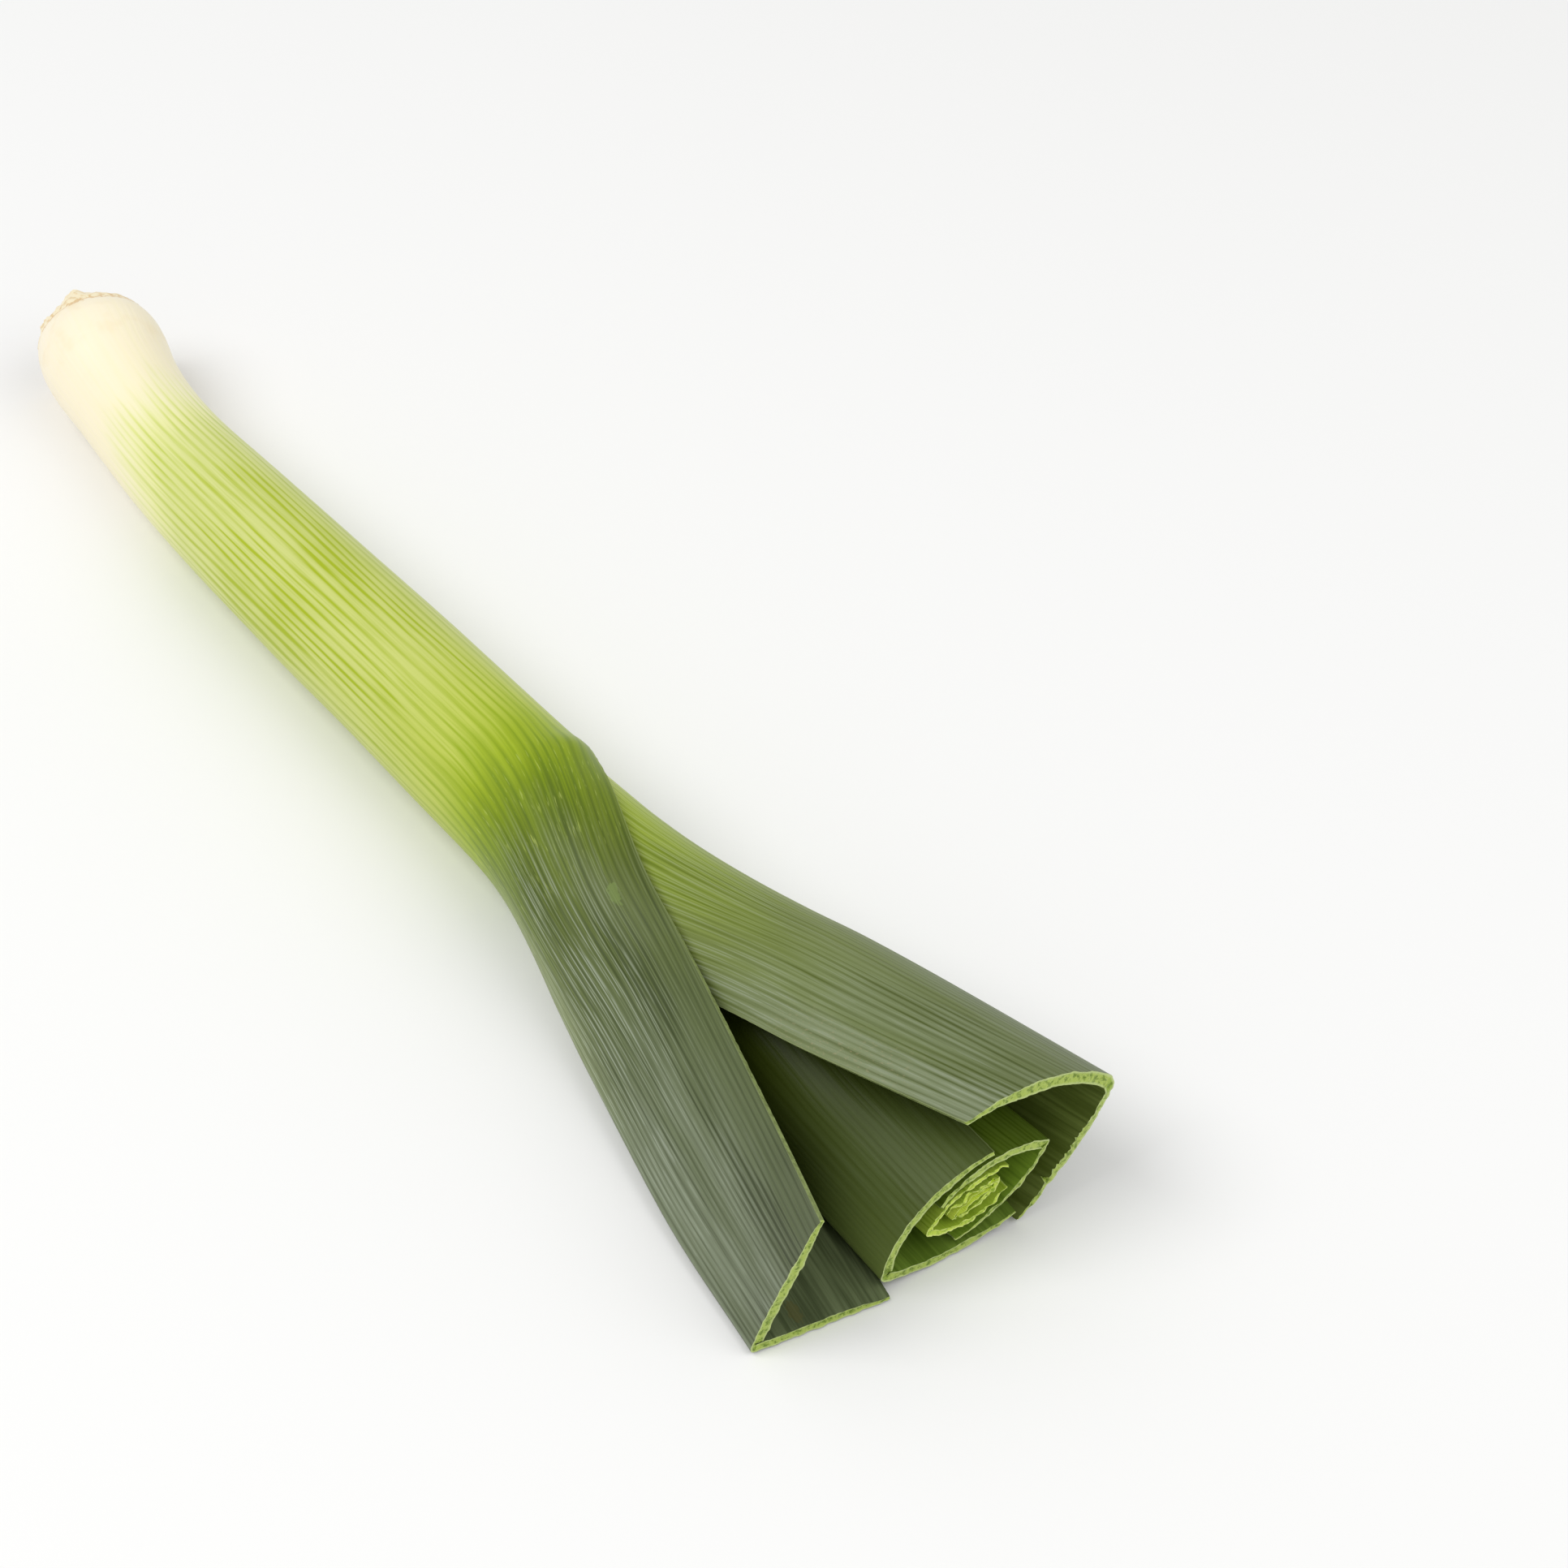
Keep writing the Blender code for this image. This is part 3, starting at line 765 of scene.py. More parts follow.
def vein_crest(finish, across, along, seed):
    """1 on a vein and 0 between two: wandering lines, with weaker ones between them on the blade."""
    wander = finish.streaks(0.012, 0.25, seed + 1)
    waver = finish.streaks(0.0045, 0.090, seed + 7)
    phase = finish.times_plus(waver, 1.1, finish.times(wander, 2.2))
    phase = finish.plus(finish.math("DIVIDE", across, VEIN_SPACING), phase)
    crest = finish.times(finish.math("PINGPONG", phase, 0.5), 2.0)
    between = finish.times(finish.math("PINGPONG", finish.times_plus(phase, 2.0, 0.5), 0.5), 1.5)
    neck_only = finish.between(along, 0.270, 0.310, 1.0, 0.45)
    onto_blade = finish.times(finish.between(along, BLADE_START - 0.015, BLADE_START + 0.010), neck_only)
    return finish.math("MAXIMUM", crest, finish.times(between, onto_blade))


def veins(finish, across, along, seed):
    """The crests, and how much of a vein's darker green is here: strong in some places, lost in others."""
    crest = vein_crest(finish, across, along, seed)
    local = finish.streaks(VEIN_SPACING, 0.045, seed + 2)
    patch = finish.streaks(0.010, 0.050, seed + 3, detail=3.0)
    strength = finish.times_plus(local, 1.6, finish.times_plus(patch, 1.5, -0.80))
    strength = finish.times(strength, finish.between(along, 0.250, 0.305, 1.0, 0.68))
    line = finish.times(finish.between(crest, 0.35, 1.0), strength)
    fine = finish.between(finish.streaks(0.00045, 0.020, seed + 4), 0.45, 0.75, 0.0, 0.35)
    flush = finish.between(patch, 0.50, 0.76, 0.0, 0.40)
    return crest, finish.plus(finish.plus(line, fine), flush, clamp=True)


def wax_and_sheen(finish, across, along, share, at_sides, crest, line, seed):
    """The whitish waxy bloom, partly a painted sheen: broken stripes between the veins, and a film that grows
    along the blade.
    """
    girth = finish.math("ABSOLUTE", across)
    streak = finish.streaks(0.00095, 0.013, seed + 5, detail=3.0)
    flecks = finish.between(streak, 0.38, 0.56)
    stripe = finish.between(crest, 0.20, 0.75, 1.0, 0.10)
    cloud = finish.between(finish.streaks(0.008, 0.040, seed + 6), 0.32, 0.62, 0.45, 1.0)
    side = finish.between(girth, HALF_GIRTH * 0.35, HALF_GIRTH * 0.95, *at_sides)
    cover = finish.times(cloud, side)
    strong = finish.times(cover, finish.between(along, 0.255, 0.305, 1.0, 0.72))
    bloom_and_sheen = finish.times(finish.times(flecks, stripe), strong)
    bloom_and_sheen_film = finish.times(cover, finish.between(along, 0.240, 0.300, 0.08, 0.48))
    bloom_and_sheen_film = finish.times(bloom_and_sheen_film, finish.times_plus(line, -0.85, 1.0))
    return streak, finish.times(finish.math("MAXIMUM", bloom_and_sheen, bloom_and_sheen_film), share, clamp=True)


def leaf_skin(name, ground, lines, blooms_and_sheen, at_sides, gloss, seed, pith_diagonal=0.0, extra=None):
    """The leaf's outer skin: pale ground, darker veins, greener patches and a whitish waxy bloom, partly a
    painted sheen.
    """
    finish = Finish(name, 0.45, gloss)
    across, along = finish.lay()
    girth = finish.math("ABSOLUTE", across)
    cloud = finish.streaks(0.016, 0.030, seed + 11)
    fringe = finish.streaks(VEIN_SPACING * 0.8, 0.050, seed + 12)
    wobble = finish.times_plus(cloud, 0.05, finish.times_plus(fringe, 0.05, -0.05))
    slope = finish.between(along, 0.090, 0.170, pith_diagonal / HALF_GIRTH / LEAF_LENGTH, 0.0)
    pale_keel = finish.between(girth, HALF_GIRTH * 0.10, HALF_GIRTH * 0.40, -KEEL_PALE / LEAF_LENGTH, 0.0)
    drift = finish.plus(finish.times_plus(girth, slope, wobble), pale_keel)
    tone = finish.plus(finish.math("DIVIDE", along, LEAF_LENGTH), drift)
    crest, line = veins(finish, across, along, seed)
    colour = finish.mix(line, finish.ramp(tone, along_stops(ground)), finish.ramp(tone, along_stops(lines)))
    lead = KEEL_LEAD / LEAF_LENGTH
    bloom_and_sheen_tone = finish.plus(tone, finish.times_plus(girth, -lead / HALF_GIRTH, lead))
    share = finish.ramp(bloom_and_sheen_tone, [(station / LEAF_LENGTH, (b, b, b, 1.0)) for station, b in blooms_and_sheen])
    streak, bloom_and_sheen = wax_and_sheen(finish, across, along, share, at_sides, crest, line, seed)
    # mixes in the whitish bloom, which is partly a painted sheen
    colour = finish.mix(bloom_and_sheen, colour, WAX_AND_SHEEN)
    edge = finish.between(girth, HALF_GIRTH * 0.992, HALF_GIRTH, 0.0, 0.4)
    blade = finish.between(along, BLADE_START, BLADE_START + 0.02)
    colour = finish.mix(finish.times(edge, blade), colour, EDGE_SKIN)
    if extra:
        colour = extra(finish, across, along, colour)
    finish.colour(colour)
    finish.feed(finish.shader.inputs["Roughness"], finish.times_plus(bloom_and_sheen, 0.25, 0.38))
    finish.bump(finish.times_plus(crest, -0.5, finish.times(streak, 0.7)), 0.00018, 0.3)
    return finish.material


def blot(finish, across, along, place, size, seed):
    """A soft-edged uneven spot: its middle and its half extents, both round and along the leaf."""
    round_it = finish.math("DIVIDE", finish.minus(across, place[0]), size[0])
    along_it = finish.math("DIVIDE", finish.minus(along, place[1]), size[1])
    reach = finish.plus(finish.times(round_it, round_it), finish.times(along_it, along_it))
    reach = finish.math("SQRT", reach)
    ragged = finish.times_plus(finish.streaks(size[0] * 0.4, size[1] * 0.4, seed), 1.6, -0.8)
    return finish.between(finish.plus(reach, ragged), 0.75, 1.05, 1.0, 0.0)


def rim_marks(finish, across, along, colour):
    """The torn tan rim at the root, and faint stains on the bulb."""
    torn_grain = finish.streaks(0.0016, 0.0016, 71, detail=3.0)
    turn = finish.times_plus(across, math.pi / HALF_GIRTH, -math.pi * RIM_TILT_PLACE)
    aslant = finish.math("POWER", finish.times_plus(finish.math("COSINE", turn), 0.5, 0.5), 2.0)
    skin_start = finish.times_plus(aslant, RIM_TILT, ROOT_STATION + RIM_BREADTH + 0.0018)
    reach = finish.times_plus(torn_grain, 0.0060, finish.minus(along, skin_start))
    reach = finish.minus(reach, 0.0012)
    stain = finish.between(finish.streaks(0.006, 0.006, 72), 0.50, 0.75, 0.0, 0.5)
    bulb = finish.between(along, 0.010, 0.040, 1.0, 0.0)
    colour = finish.mix(finish.times(stain, bulb), colour, STAIN)
    shade = finish.between(torn_grain, 0.46, 0.66)
    rim = finish.mix(shade, RIM_PALE, RIM_TAN)
    colour = finish.mix(finish.between(reach, 0.0002, 0.0014, 0.9, 0.0), colour, RIM_LINE)
    return finish.mix(finish.between(reach, -0.0008, 0.0002, 0.9, 0.0), colour, rim)


def outer_marks(finish, across, along, colour):
    """The rim, a healed scar, a greener seam side, and pale threads and a paler keel at the neck; the paler
    keel is partly a pale rim and partly painted light on the side turned from the key lamp.
    """
    colour = rim_marks(finish, across, along, colour)
    scar = blot(finish, across, along, SCAR_PLACE, SCAR_SIZE, 73)
    colour = finish.mix(finish.times(scar, 0.5), colour, SCAR_GREEN)
    seam_side = finish.between(across, HALF_GIRTH * 0.50, HALF_GIRTH * 0.85, 0.0, 0.15)
    shaft = finish.window(along, 0.06, 0.10, 0.185, 0.205)
    colour = finish.mix(finish.times(seam_side, shaft), colour, SEAM_GREEN)
    thread = finish.between(finish.streaks(0.0005, 0.0050, 74), 0.60, 0.72, 0.0, 0.35)
    green = finish.window(along, 0.196, 0.206, 0.225, 0.240)
    colour = finish.mix(finish.times(thread, green), colour, THREAD)
    # paler keel: partly a real pale rim, partly painted light where the keel side turns from the key lamp
    keel = finish.between(finish.math("ABSOLUTE", across), HALF_GIRTH * 0.06, HALF_GIRTH * 0.28, 0.60, 0.0)
    keel = finish.times(keel, finish.between(thread, 0.0, 0.35, 0.55, 1.0))
    neck = finish.window(along, 0.205, 0.222, 0.240, 0.290)
    return finish.mix(finish.times(keel, neck), colour, PALE_KEEL_AND_PAINTED_LIGHT)


def second_marks(finish, across, along, colour):
    """Fine tan specks near the upper margin, and a darker keel."""
    grain = finish.streaks(0.0006, 0.0010, 81, detail=3.0)
    near = finish.between(across, HALF_GIRTH * 0.66, HALF_GIRTH * 0.94)
    speckled = finish.times(near, finish.window(along, 0.280, 0.300, 0.312, 0.326))
    specks = finish.times(finish.between(grain, 0.56, 0.70, 0.0, 0.35), speckled)
    colour = finish.mix(specks, colour, SPECKS)
    keel = finish.between(finish.math("ABSOLUTE", across), 0.0, HALF_GIRTH * 0.35, 0.55, 0.0)
    return finish.mix(finish.times(keel, finish.between(along, 0.27, 0.30)), colour, SECOND_KEEL)


def third_marks(finish, across, along, colour):
    """The keel is lighter than the flanks near the cut, and darker further in, a painted shade where the
    outer leaf overhangs it.
    """
    keel = finish.between(finish.math("ABSOLUTE", across), 0.0, HALF_GIRTH * 0.45, 0.8, 0.0)
    colour = finish.mix(finish.times(keel, finish.between(along, 0.305, 0.328)), colour, THIRD_KEEL)
    # painted shade: the keel darkens further in, where the outer leaf overhangs it
    shade = finish.times(keel, finish.between(along, 0.295, 0.320, 0.8, 0.0))
    return finish.mix(shade, colour, THIRD_PAINTED_SHADE)


def leaf_lining(name, ground, lines, seed, blotch=None):
    """The leaf's inner face: darker, with faint streaks."""
    finish = Finish(name, 0.48, 0.14)
    across, along = finish.lay()
    lengthwise = finish.math("DIVIDE", along, LEAF_LENGTH)
    local = finish.streaks(0.0012, 0.030, seed + 21)
    broad = finish.streaks(0.006, 0.040, seed + 22)
    line = finish.between(finish.times_plus(broad, 0.6, finish.times(local, 0.6)), 0.45, 0.75)
    base = finish.ramp(lengthwise, along_stops(ground))
    colour = finish.mix(line, base, finish.ramp(lengthwise, along_stops(lines)))
    if blotch:
        spot = blot(finish, across, along, *blotch, seed + 23)
        colour = finish.mix(finish.times(spot, 0.4), colour, BLOTCH_TAN)
    finish.colour(colour)
    finish.bump(local, 0.00015, 0.5)
    return finish.material


def leaf_margin(name, colour):
    """The thin pale edge of a blade, and the torn edge at the root."""
    finish = Finish(name, 0.5, 0.3)
    _, along = finish.lay()
    grain = finish.between(finish.grain(finish.place(), 900.0, 3.0), 0.35, 0.7)
    blade = finish.mix(grain, colour, tuple(c * 0.7 for c in colour[:3]) + (1.0,))
    rim = finish.mix(grain, srgb(242, 224, 178), srgb(216, 174, 112))
    finish.colour(finish.mix(finish.between(along, 0.006, 0.014), rim, blade))
    finish.bump(grain, 0.0003, 0.5)
    return finish.material


def cut_flesh(name, skin, pith, pore, keel):
    """The knife cut: a pale line of skin on both faces, with spongy flesh between, greenest at the keel."""
    finish = Finish(name, 0.50, 0.40)
    depth = finish.attribute("depth")
    across, _ = finish.lay()
    place = finish.place()
    sponge = finish.grain(place, 950.0, 3.0, 0.6)
    cells = finish.grain(place, 2400.0, 2.0)
    flesh = finish.mix(finish.between(sponge, 0.36, 0.54), pore, pith)
    flesh = finish.mix(finish.between(cells, 0.55, 0.75, 0.0, 0.5), flesh, skin)
    near_keel = finish.between(finish.math("ABSOLUTE", across), 0.0008, 0.0040, 0.75, 0.0)
    flesh = finish.mix(near_keel, flesh, finish.mix(finish.between(sponge, 0.40, 0.60), pore, keel))
    inward = finish.between(depth, 0.06, 0.24)
    outward = finish.between(depth, 0.78, 0.94, 1.0, 0.15)
    finish.colour(finish.mix(finish.times(inward, outward), skin, flesh))
    finish.bump(sponge, 0.0004, 0.8)
    return finish.material


# Marks on the outer leaf: middle and half extents, round and along the leaf
SCAR_PLACE = (0.0400, 0.2441)
SCAR_SIZE = (0.0016, 0.0028)
BLOTCH = ((-0.0194, 0.3300), (0.0022, 0.0030))

CREAM = (0.000, 248, 240, 214)
OUTER_GROUND = [
    (0.000, 247, 236, 210), (0.012, 250, 240, 216), (0.040, 249, 239, 208), (0.055, 243, 238, 196),
    (0.068, 232, 232, 166), (0.082, 214, 219, 142), (0.110, 205, 212, 128), (0.160, 200, 208, 116),
    (0.184, 187, 199, 84), (0.197, 156, 177, 30), (0.210, 122, 144, 0), (0.222, 104, 123, 4),
    (0.240, 90, 104, 36), (0.270, 85, 98, 48), (0.338, 80, 91, 56),
]
OUTER_LINES = [
    (0.000, 246, 233, 204), (0.012, 250, 240, 214), (0.046, 248, 239, 202), (0.060, 224, 228, 146),
    (0.074, 186, 202, 70), (0.095, 172, 188, 34), (0.130, 164, 181, 22), (0.165, 160, 179, 20),
    (0.190, 144, 168, 10), (0.204, 112, 137, 0), (0.216, 90, 112, 0), (0.228, 72, 90, 2),
    (0.245, 60, 74, 14), (0.270, 53, 65, 20), (0.338, 48, 57, 24),
]
OUTER_BLOOM_AND_SHEEN = [(0.218, 0.0), (0.231, 0.35), (0.244, 0.85), (0.256, 1.0), (0.290, 1.0), (0.338, 0.72)]
SECOND_GROUND = [
    CREAM, (0.150, 225, 230, 170), (0.200, 186, 200, 90), (0.220, 164, 182, 66), (0.245, 140, 157, 64),
    (0.270, 112, 126, 56), (0.300, 100, 113, 54), (0.338, 94, 106, 56),
]
SECOND_LINES = [
    CREAM, (0.150, 200, 215, 120), (0.200, 150, 170, 40), (0.220, 128, 148, 24), (0.245, 104, 122, 24),
    (0.270, 84, 98, 24), (0.300, 72, 84, 24), (0.338, 68, 80, 26),
]
SECOND_BLOOM_AND_SHEEN = [(0.205, 0.05), (0.225, 0.32), (0.260, 0.70), (0.338, 0.80)]
# The third leaf is darkest around station 0.262, where the outer leaves overhang it: partly painted shade.
THIRD_GROUND = [
    CREAM, (0.200, 170, 190, 80), (0.240, 80, 96, 16), (0.262, 56, 69, 10), (0.290, 64, 76, 22),
    (0.338, 78, 92, 40),
]
THIRD_LINES = [
    CREAM, (0.200, 140, 164, 50), (0.240, 70, 84, 10), (0.262, 50, 61, 6), (0.290, 56, 67, 14),
    (0.338, 68, 80, 28),
]
THIRD_BLOOM_AND_SHEEN = [(0.240, 0.0), (0.300, 0.0), (0.338, 0.10)]
INNER_GROUND = [CREAM, (0.200, 205, 220, 130), (0.280, 92, 114, 24), (0.338, 88, 110, 26)]
INNER_LINES = [CREAM, (0.200, 180, 205, 90), (0.280, 72, 94, 10), (0.338, 68, 88, 10)]
YOUNG_GROUND = [CREAM, (0.200, 222, 232, 150), (0.300, 158, 182, 62), (0.338, 152, 176, 54)]
YOUNG_LINES = [CREAM, (0.200, 205, 220, 120), (0.300, 128, 156, 36), (0.338, 120, 148, 28)]
HEART_GROUND = [CREAM, (0.200, 232, 240, 160), (0.300, 208, 224, 96), (0.338, 204, 222, 78)]
HEART_LINES = [CREAM, (0.200, 216, 230, 130), (0.300, 182, 206, 56), (0.338, 170, 196, 40)]
NO_BLOOM_OR_SHEEN = [(0.0, 0.0), (LEAF_LENGTH, 0.05)]

# Each skin: its colours along the leaf between and on the veins, its bloom and painted sheen along the leaf,
# and at the keel and at the margins, and its gloss
SKINS = {
    "outer_leaf": (OUTER_GROUND, OUTER_LINES, OUTER_BLOOM_AND_SHEEN, (1.0, 0.15), 0.28),
    "second_leaf": (SECOND_GROUND, SECOND_LINES, SECOND_BLOOM_AND_SHEEN, (0.45, 1.0), 0.16),
    "third_leaf": (THIRD_GROUND, THIRD_LINES, THIRD_BLOOM_AND_SHEEN, (1.0, 1.0), 0.12),
    "fourth_leaf": (INNER_GROUND, INNER_LINES, NO_BLOOM_OR_SHEEN, (1.0, 1.0), 0.12),
    "fifth_leaf": (YOUNG_GROUND, YOUNG_LINES, NO_BLOOM_OR_SHEEN, (1.0, 1.0), 0.28),
    "sixth_leaf": (YOUNG_GROUND, YOUNG_LINES, NO_BLOOM_OR_SHEEN, (1.0, 1.0), 0.28),
    "heart": (HEART_GROUND, HEART_LINES, NO_BLOOM_OR_SHEEN, (1.0, 1.0), 0.28),
}
LININGS = {
    "outer_leaf": (
        [CREAM, (0.19, 190, 205, 120), (0.24, 112, 126, 76), (0.338, 110, 122, 86)],
        [CREAM, (0.19, 170, 190, 90), (0.24, 78, 90, 50), (0.338, 74, 85, 54)],
    ),
    "second_leaf": (
        [CREAM, (0.22, 180, 200, 100), (0.27, 92, 106, 40), (0.338, 104, 119, 54)],
        [CREAM, (0.22, 150, 175, 70), (0.27, 68, 82, 22), (0.338, 76, 90, 28)],
    ),
    "third_leaf": (
        [CREAM, (0.24, 160, 186, 80), (0.29, 112, 140, 52), (0.338, 112, 138, 50)],
        [CREAM, (0.24, 140, 170, 60), (0.29, 88, 114, 32), (0.338, 86, 110, 32)],
    ),
    "fourth_leaf": (
        [CREAM, (0.26, 150, 176, 70), (0.338, 116, 146, 42)],
        [CREAM, (0.26, 130, 156, 50), (0.338, 92, 120, 28)],
    ),
}
YOUNG_LINING = (
    [CREAM, (0.28, 186, 206, 84), (0.338, 160, 186, 56)],
    [CREAM, (0.28, 160, 186, 56), (0.338, 134, 162, 38)],
)
OLD_CUT = (srgb(188, 204, 130), srgb(172, 193, 86), srgb(108, 134, 30), srgb(142, 174, 32))
YOUNG_CUT = (srgb(216, 230, 128), srgb(194, 216, 76), srgb(140, 172, 36), srgb(170, 200, 48))
MARKS = {"outer_leaf": outer_marks, "second_leaf": second_marks, "third_leaf": third_marks}
OLD_MARGIN = srgb(138, 153, 92)
YOUNG_MARGIN = srgb(176, 198, 96)
OLD_LEAVES = 4


def dress(shell, leaf):
    """The leaf's own materials, in the order that its faces number them."""
    name, seed = leaf["name"], 37.0 * leaf["level"]
    old = leaf["level"] < OLD_LEAVES
    diagonal = PITH_DIAGONAL if leaf["level"] == 0 else 0.0
    skin = leaf_skin(name + "_skin", *SKINS[name], seed, diagonal, MARKS.get(name))
    blotch = BLOTCH if leaf["level"] == 0 else None
    lining = leaf_lining(name + "_lining", *LININGS.get(name, YOUNG_LINING), seed, blotch)
    margin = leaf_margin(name + "_margin", OLD_MARGIN if old else YOUNG_MARGIN)
    flesh = cut_flesh(name + "_cut", *(OLD_CUT if old else YOUNG_CUT))
    for slot, material in enumerate((skin, lining, margin, skin, lining, flesh)):
        shell.data.materials[slot] = material


def smooth_with_edges(mesh, degrees):
    mesh.shade_smooth()
    mesh.set_sharp_from_angle(angle=math.radians(degrees))


def hand_over(piece, node):
    """The piece stands for its CAD node: it rides the root body, and the CAD node is hidden."""
    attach(piece, "root")
    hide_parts(node)


def leaf_shell(leaf):
    return finish_ends(walled(leaf_grid(leaf), leaf), leaf)


def make_leaf(leaf):
    shell = leaf_shell(leaf)
    dress(shell, leaf)
    smooth_with_edges(shell.data, SHARP_ANGLE)
    hand_over(shell, leaf["name"])


def make_heart():
    """The youngest leaves: folds rolled one in the other, as one piece."""
    folds = []
    for level, lens, back in HEART_FOLDS:
        folds.append({
            "name": "heart", "level": level, "side": HEART_SIDE, "start": INNER_START, "mouth": CUT_STATION,
            "blade": [], "lean": (INNER_LEAN[0] - back, INNER_LEAN[1]), "columns": HEART_COLUMNS,
            "shows": HEART_SHOWS, "lens": lens, "sheath": min(HEART_WALL, HEART_WALL_SHARE * lens[1]),
            "ragged": HEART_RAGGED,
        })
    shells = [leaf_shell(fold) for fold in folds]
    bm = bmesh.new()
    for shell in shells:
        bm.from_mesh(shell.data)
    heart = shells[0]
    bm.to_mesh(heart.data)
    bm.free()
    for shell in shells[1:]:
        bpy.data.objects.remove(shell)
    dress(heart, folds[0])
    smooth_with_edges(heart.data, SHARP_ANGLE)
    hand_over(heart, "heart")


def add_stump(bm, ring, angle, radius, sides):
    """One sliced root, standing out of the plate's face."""
    (y, z), _, _ = closed_section(0, PLATE_FACE)
    heading = heading_at(PLATE_FACE)
    point = Vector((y + ring * math.cos(angle), z + ring * math.sin(angle)))
    outwards = Vector((-math.cos(heading), -math.sin(heading), 0.0))
    middle = placed(PLATE_FACE, point) + SHIFT + outwards * (STUMP_LENGTH - STUMP_SINK) / 2
    turn = Euler((0.0, -math.pi / 2, heading)).to_matrix().to_4x4()
    made = bmesh.ops.create_cone(
        bm, cap_ends=True, segments=sides, radius1=radius, radius2=radius * STUMP_TAPER,
        depth=STUMP_LENGTH + STUMP_SINK, matrix=Matrix.Translation(middle) @ turn,
    )
    for vert in made["verts"]:
        place = vert.co * 1000
        wander = uneven(place.y * 1.4, place.z * 1.4, 8.0) - 0.3
        vert.co += outwards * STUMP_LENGTH * STUMP_RAGGED * wander


def plate_point(x, angle, share):
    """A point of the root plate: share is 0 on its axis and 1 on its outside."""
    (y, z), radius, _ = closed_section(0, x)
    reach = (radius - SHEATH_WALL - PLATE_CLEARANCE) * share
    return placed(x, Vector((y + reach * math.cos(angle), z + reach * math.sin(angle)))) + SHIFT


def plate_mesh():
    """The sliced plate as a closed drum, rough with fibres, and the stumps of its roots."""
    rings = [(PLATE_FACE, mix(*PLATE_FACE_SHARES, k / (PLATE_RINGS - 1))) for k in range(PLATE_RINGS)]
    rings += [(x, 1.0) for x in spread(PLATE_FACE + PLATE_RING_STEP, PLATE_BACK, PLATE_RING_STEP)]
    rings.append((PLATE_BACK, 1.0))
    bm = bmesh.new()
    bmesh.ops.create_grid(bm, x_segments=len(rings) - 1, y_segments=PLATE_SIDES, size=1.0)
    for vert in bm.verts:
        x, share = rings[round((vert.co.x + 1) / 2 * (len(rings) - 1))]
        angle = FAN_TILT + math.pi * (round(vert.co.y * PLATE_SIDES / 2) / (PLATE_SIDES / 2) + 1)
        vert.co = plate_point(x, angle, share)
        place = vert.co * 1000
        rough = uneven(place.x * 0.9, place.y * 0.9, place.z * 0.9)
        rough += 0.5 * uneven(place.x * 2.2, place.y * 2.2, place.z * 2.2)
        vert.co.x += PLATE_ROUGHNESS * rough
    bmesh.ops.remove_doubles(bm, verts=bm.verts[:], dist=MERGE)
    bmesh.ops.holes_fill(bm, edges=[e for e in bm.edges if e.is_boundary], sides=0)
    bmesh.ops.recalc_face_normals(bm, faces=bm.faces[:])
    for number, (ring, count) in enumerate(STUMP_RINGS):
        for k in range(count):
            add_stump(bm, ring, 2 * math.pi * (k + 0.5 * number) / count, STUMP_RADIUS, STUMP_SIDES)
    for k in range(SMALL_STUMPS):
        ring = SMALL_STUMP_RING + SMALL_STUMP_WANDER * uneven(k * 1.7)
        add_stump(bm, ring, 2 * math.pi * k / SMALL_STUMPS, SMALL_STUMP_RADIUS, SMALL_STUMP_SIDES)
    mesh = bpy.data.meshes.new("root_plate_fibres")
    bm.to_mesh(mesh)
    bm.free()
    return mesh


def plate_tissue():
    """Cream and tan tissue with darker fibres."""
    finish = Finish("root_plate_tissue", 0.75, 0.25)
    place = finish.place()
    fibre = finish.grain(place, 800.0, 4.0, 0.65)
    blotches = finish.grain(place, 210.0, 2.0)
    tissue = finish.mix(finish.between(blotches, 0.35, 0.65), srgb(238, 224, 184), srgb(212, 182, 126))
    tissue = finish.mix(finish.between(fibre, 0.52, 0.70, 0.0, 0.8), tissue, srgb(164, 124, 74))
    finish.colour(tissue)
    finish.bump(fibre, 0.0004, 0.9)
    return finish.material


def make_root_plate():
    plate = bpy.data.objects.new("root_plate_fibres", plate_mesh())
    bpy.context.collection.objects.link(plate)
    plate.data.materials.append(plate_tissue())
    smooth_with_edges(plate.data, PLATE_SHARP_ANGLE)
    hand_over(plate, "root_plate")


# Floor and lights
FLOOR_RADIUS = 6.0
FLOOR_SIDES = 96
FLOOR_COLOUR = srgb(243, 243, 242)
ROOM_LIGHT = 0.60
LAMP_SIZE = 1.2
LAMPS = [("key", (-0.35, -0.85, 1.45), 13.0), ("fill", (0.95, 0.45, 1.10), 5.5)]


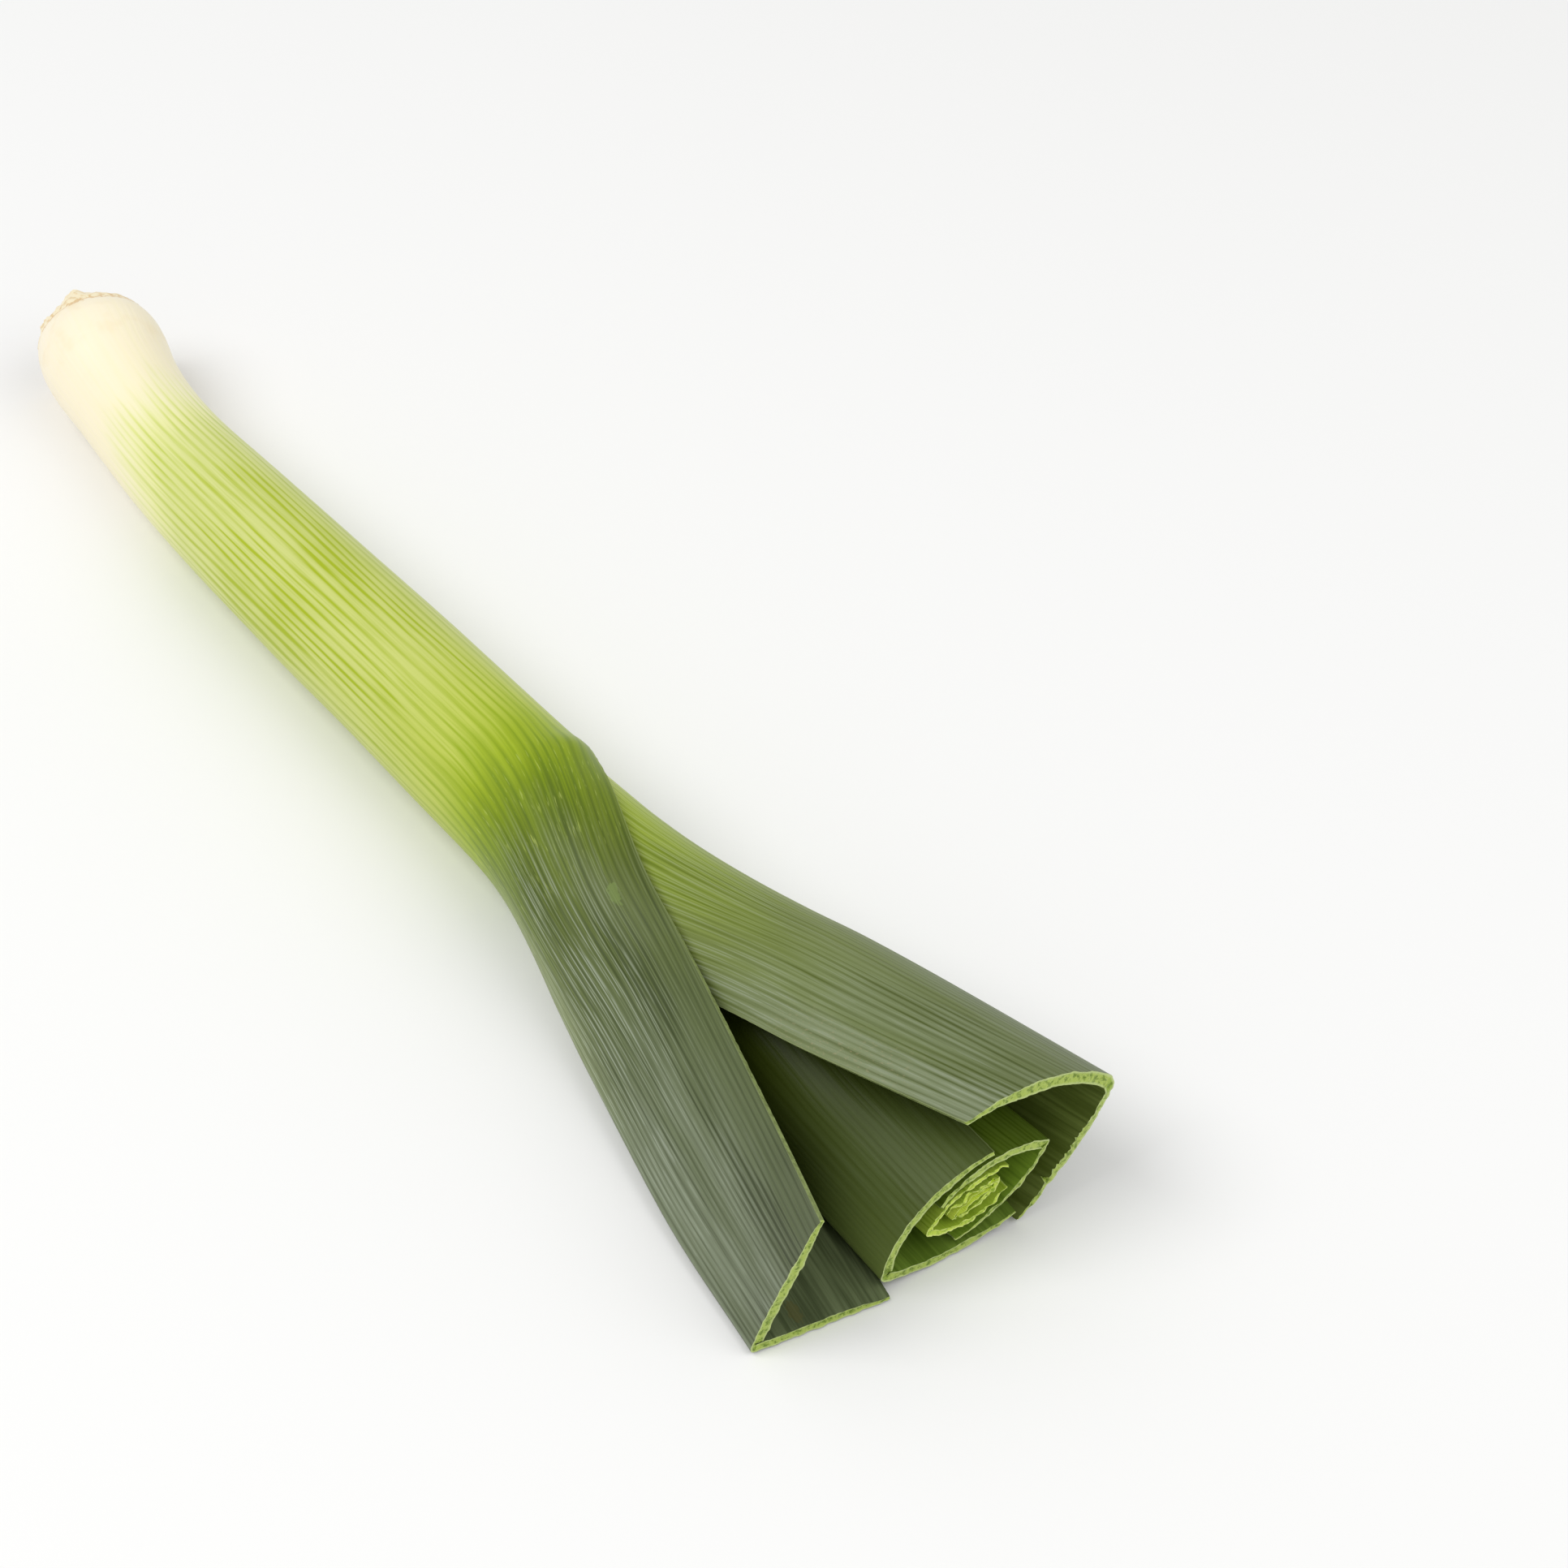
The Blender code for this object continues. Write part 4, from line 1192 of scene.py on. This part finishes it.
def make_floor():
    """A wide pale floor under the leek."""
    bm = bmesh.new()
    bmesh.ops.create_circle(bm, cap_ends=True, segments=FLOOR_SIDES, radius=FLOOR_RADIUS)
    mesh = bpy.data.meshes.new("floor")
    bm.to_mesh(mesh)
    bm.free()
    floor = bpy.data.objects.new("floor", mesh)
    bpy.context.collection.objects.link(floor)
    finish = Finish("floor_paint", 0.9, 0.1)
    finish.colour(FLOOR_COLOUR)
    mesh.materials.append(finish.material)


def make_lights():
    """A large soft key from the upper left of the picture, a weak fill from the right, and a pale room."""
    world = bpy.data.worlds.new("room")
    world.use_nodes = True
    background = world.node_tree.nodes["Background"]
    background.inputs["Color"].default_value = (1.0, 1.0, 1.0, 1.0)
    background.inputs["Strength"].default_value = ROOM_LIGHT
    bpy.context.scene.world = world
    for name, place, power in LAMPS:
        lamp = bpy.data.lights.new(name, "AREA")
        lamp.shape = "DISK"
        lamp.size = LAMP_SIZE
        lamp.energy = power
        light = bpy.data.objects.new(name, lamp)
        light.location = place
        light.rotation_mode = "QUATERNION"
        light.rotation_quaternion = (-Vector(place)).to_track_quat("-Z", "Y")
        bpy.context.collection.objects.link(light)


def make_camera():
    """The camera looks at the leek from the cut end's left and above, as in the photo."""
    camera = bpy.data.objects.new("camera", bpy.data.cameras.new("camera"))
    camera.data.lens = CAMERA_LENS
    camera.location = Vector(CAMERA_PLACE) + SHIFT
    flat = math.cos(CAMERA_ELEVATION)
    look = Vector((
        -math.sin(CAMERA_AZIMUTH) * flat, math.cos(CAMERA_AZIMUTH) * flat, -math.sin(CAMERA_ELEVATION),
    ))
    camera.rotation_mode = "QUATERNION"
    camera.rotation_quaternion = look.to_track_quat("-Z", "Y")
    camera.data.clip_start = 0.01
    bpy.context.collection.objects.link(camera)
    bpy.context.scene.camera = camera
    bpy.context.scene.view_settings.view_transform = "Standard"


make_camera()
for level, leaf in enumerate(LEAVES):
    make_leaf({**INNER_LEAF, **leaf, "level": level})
make_heart()
make_root_plate()
make_floor()
make_lights()
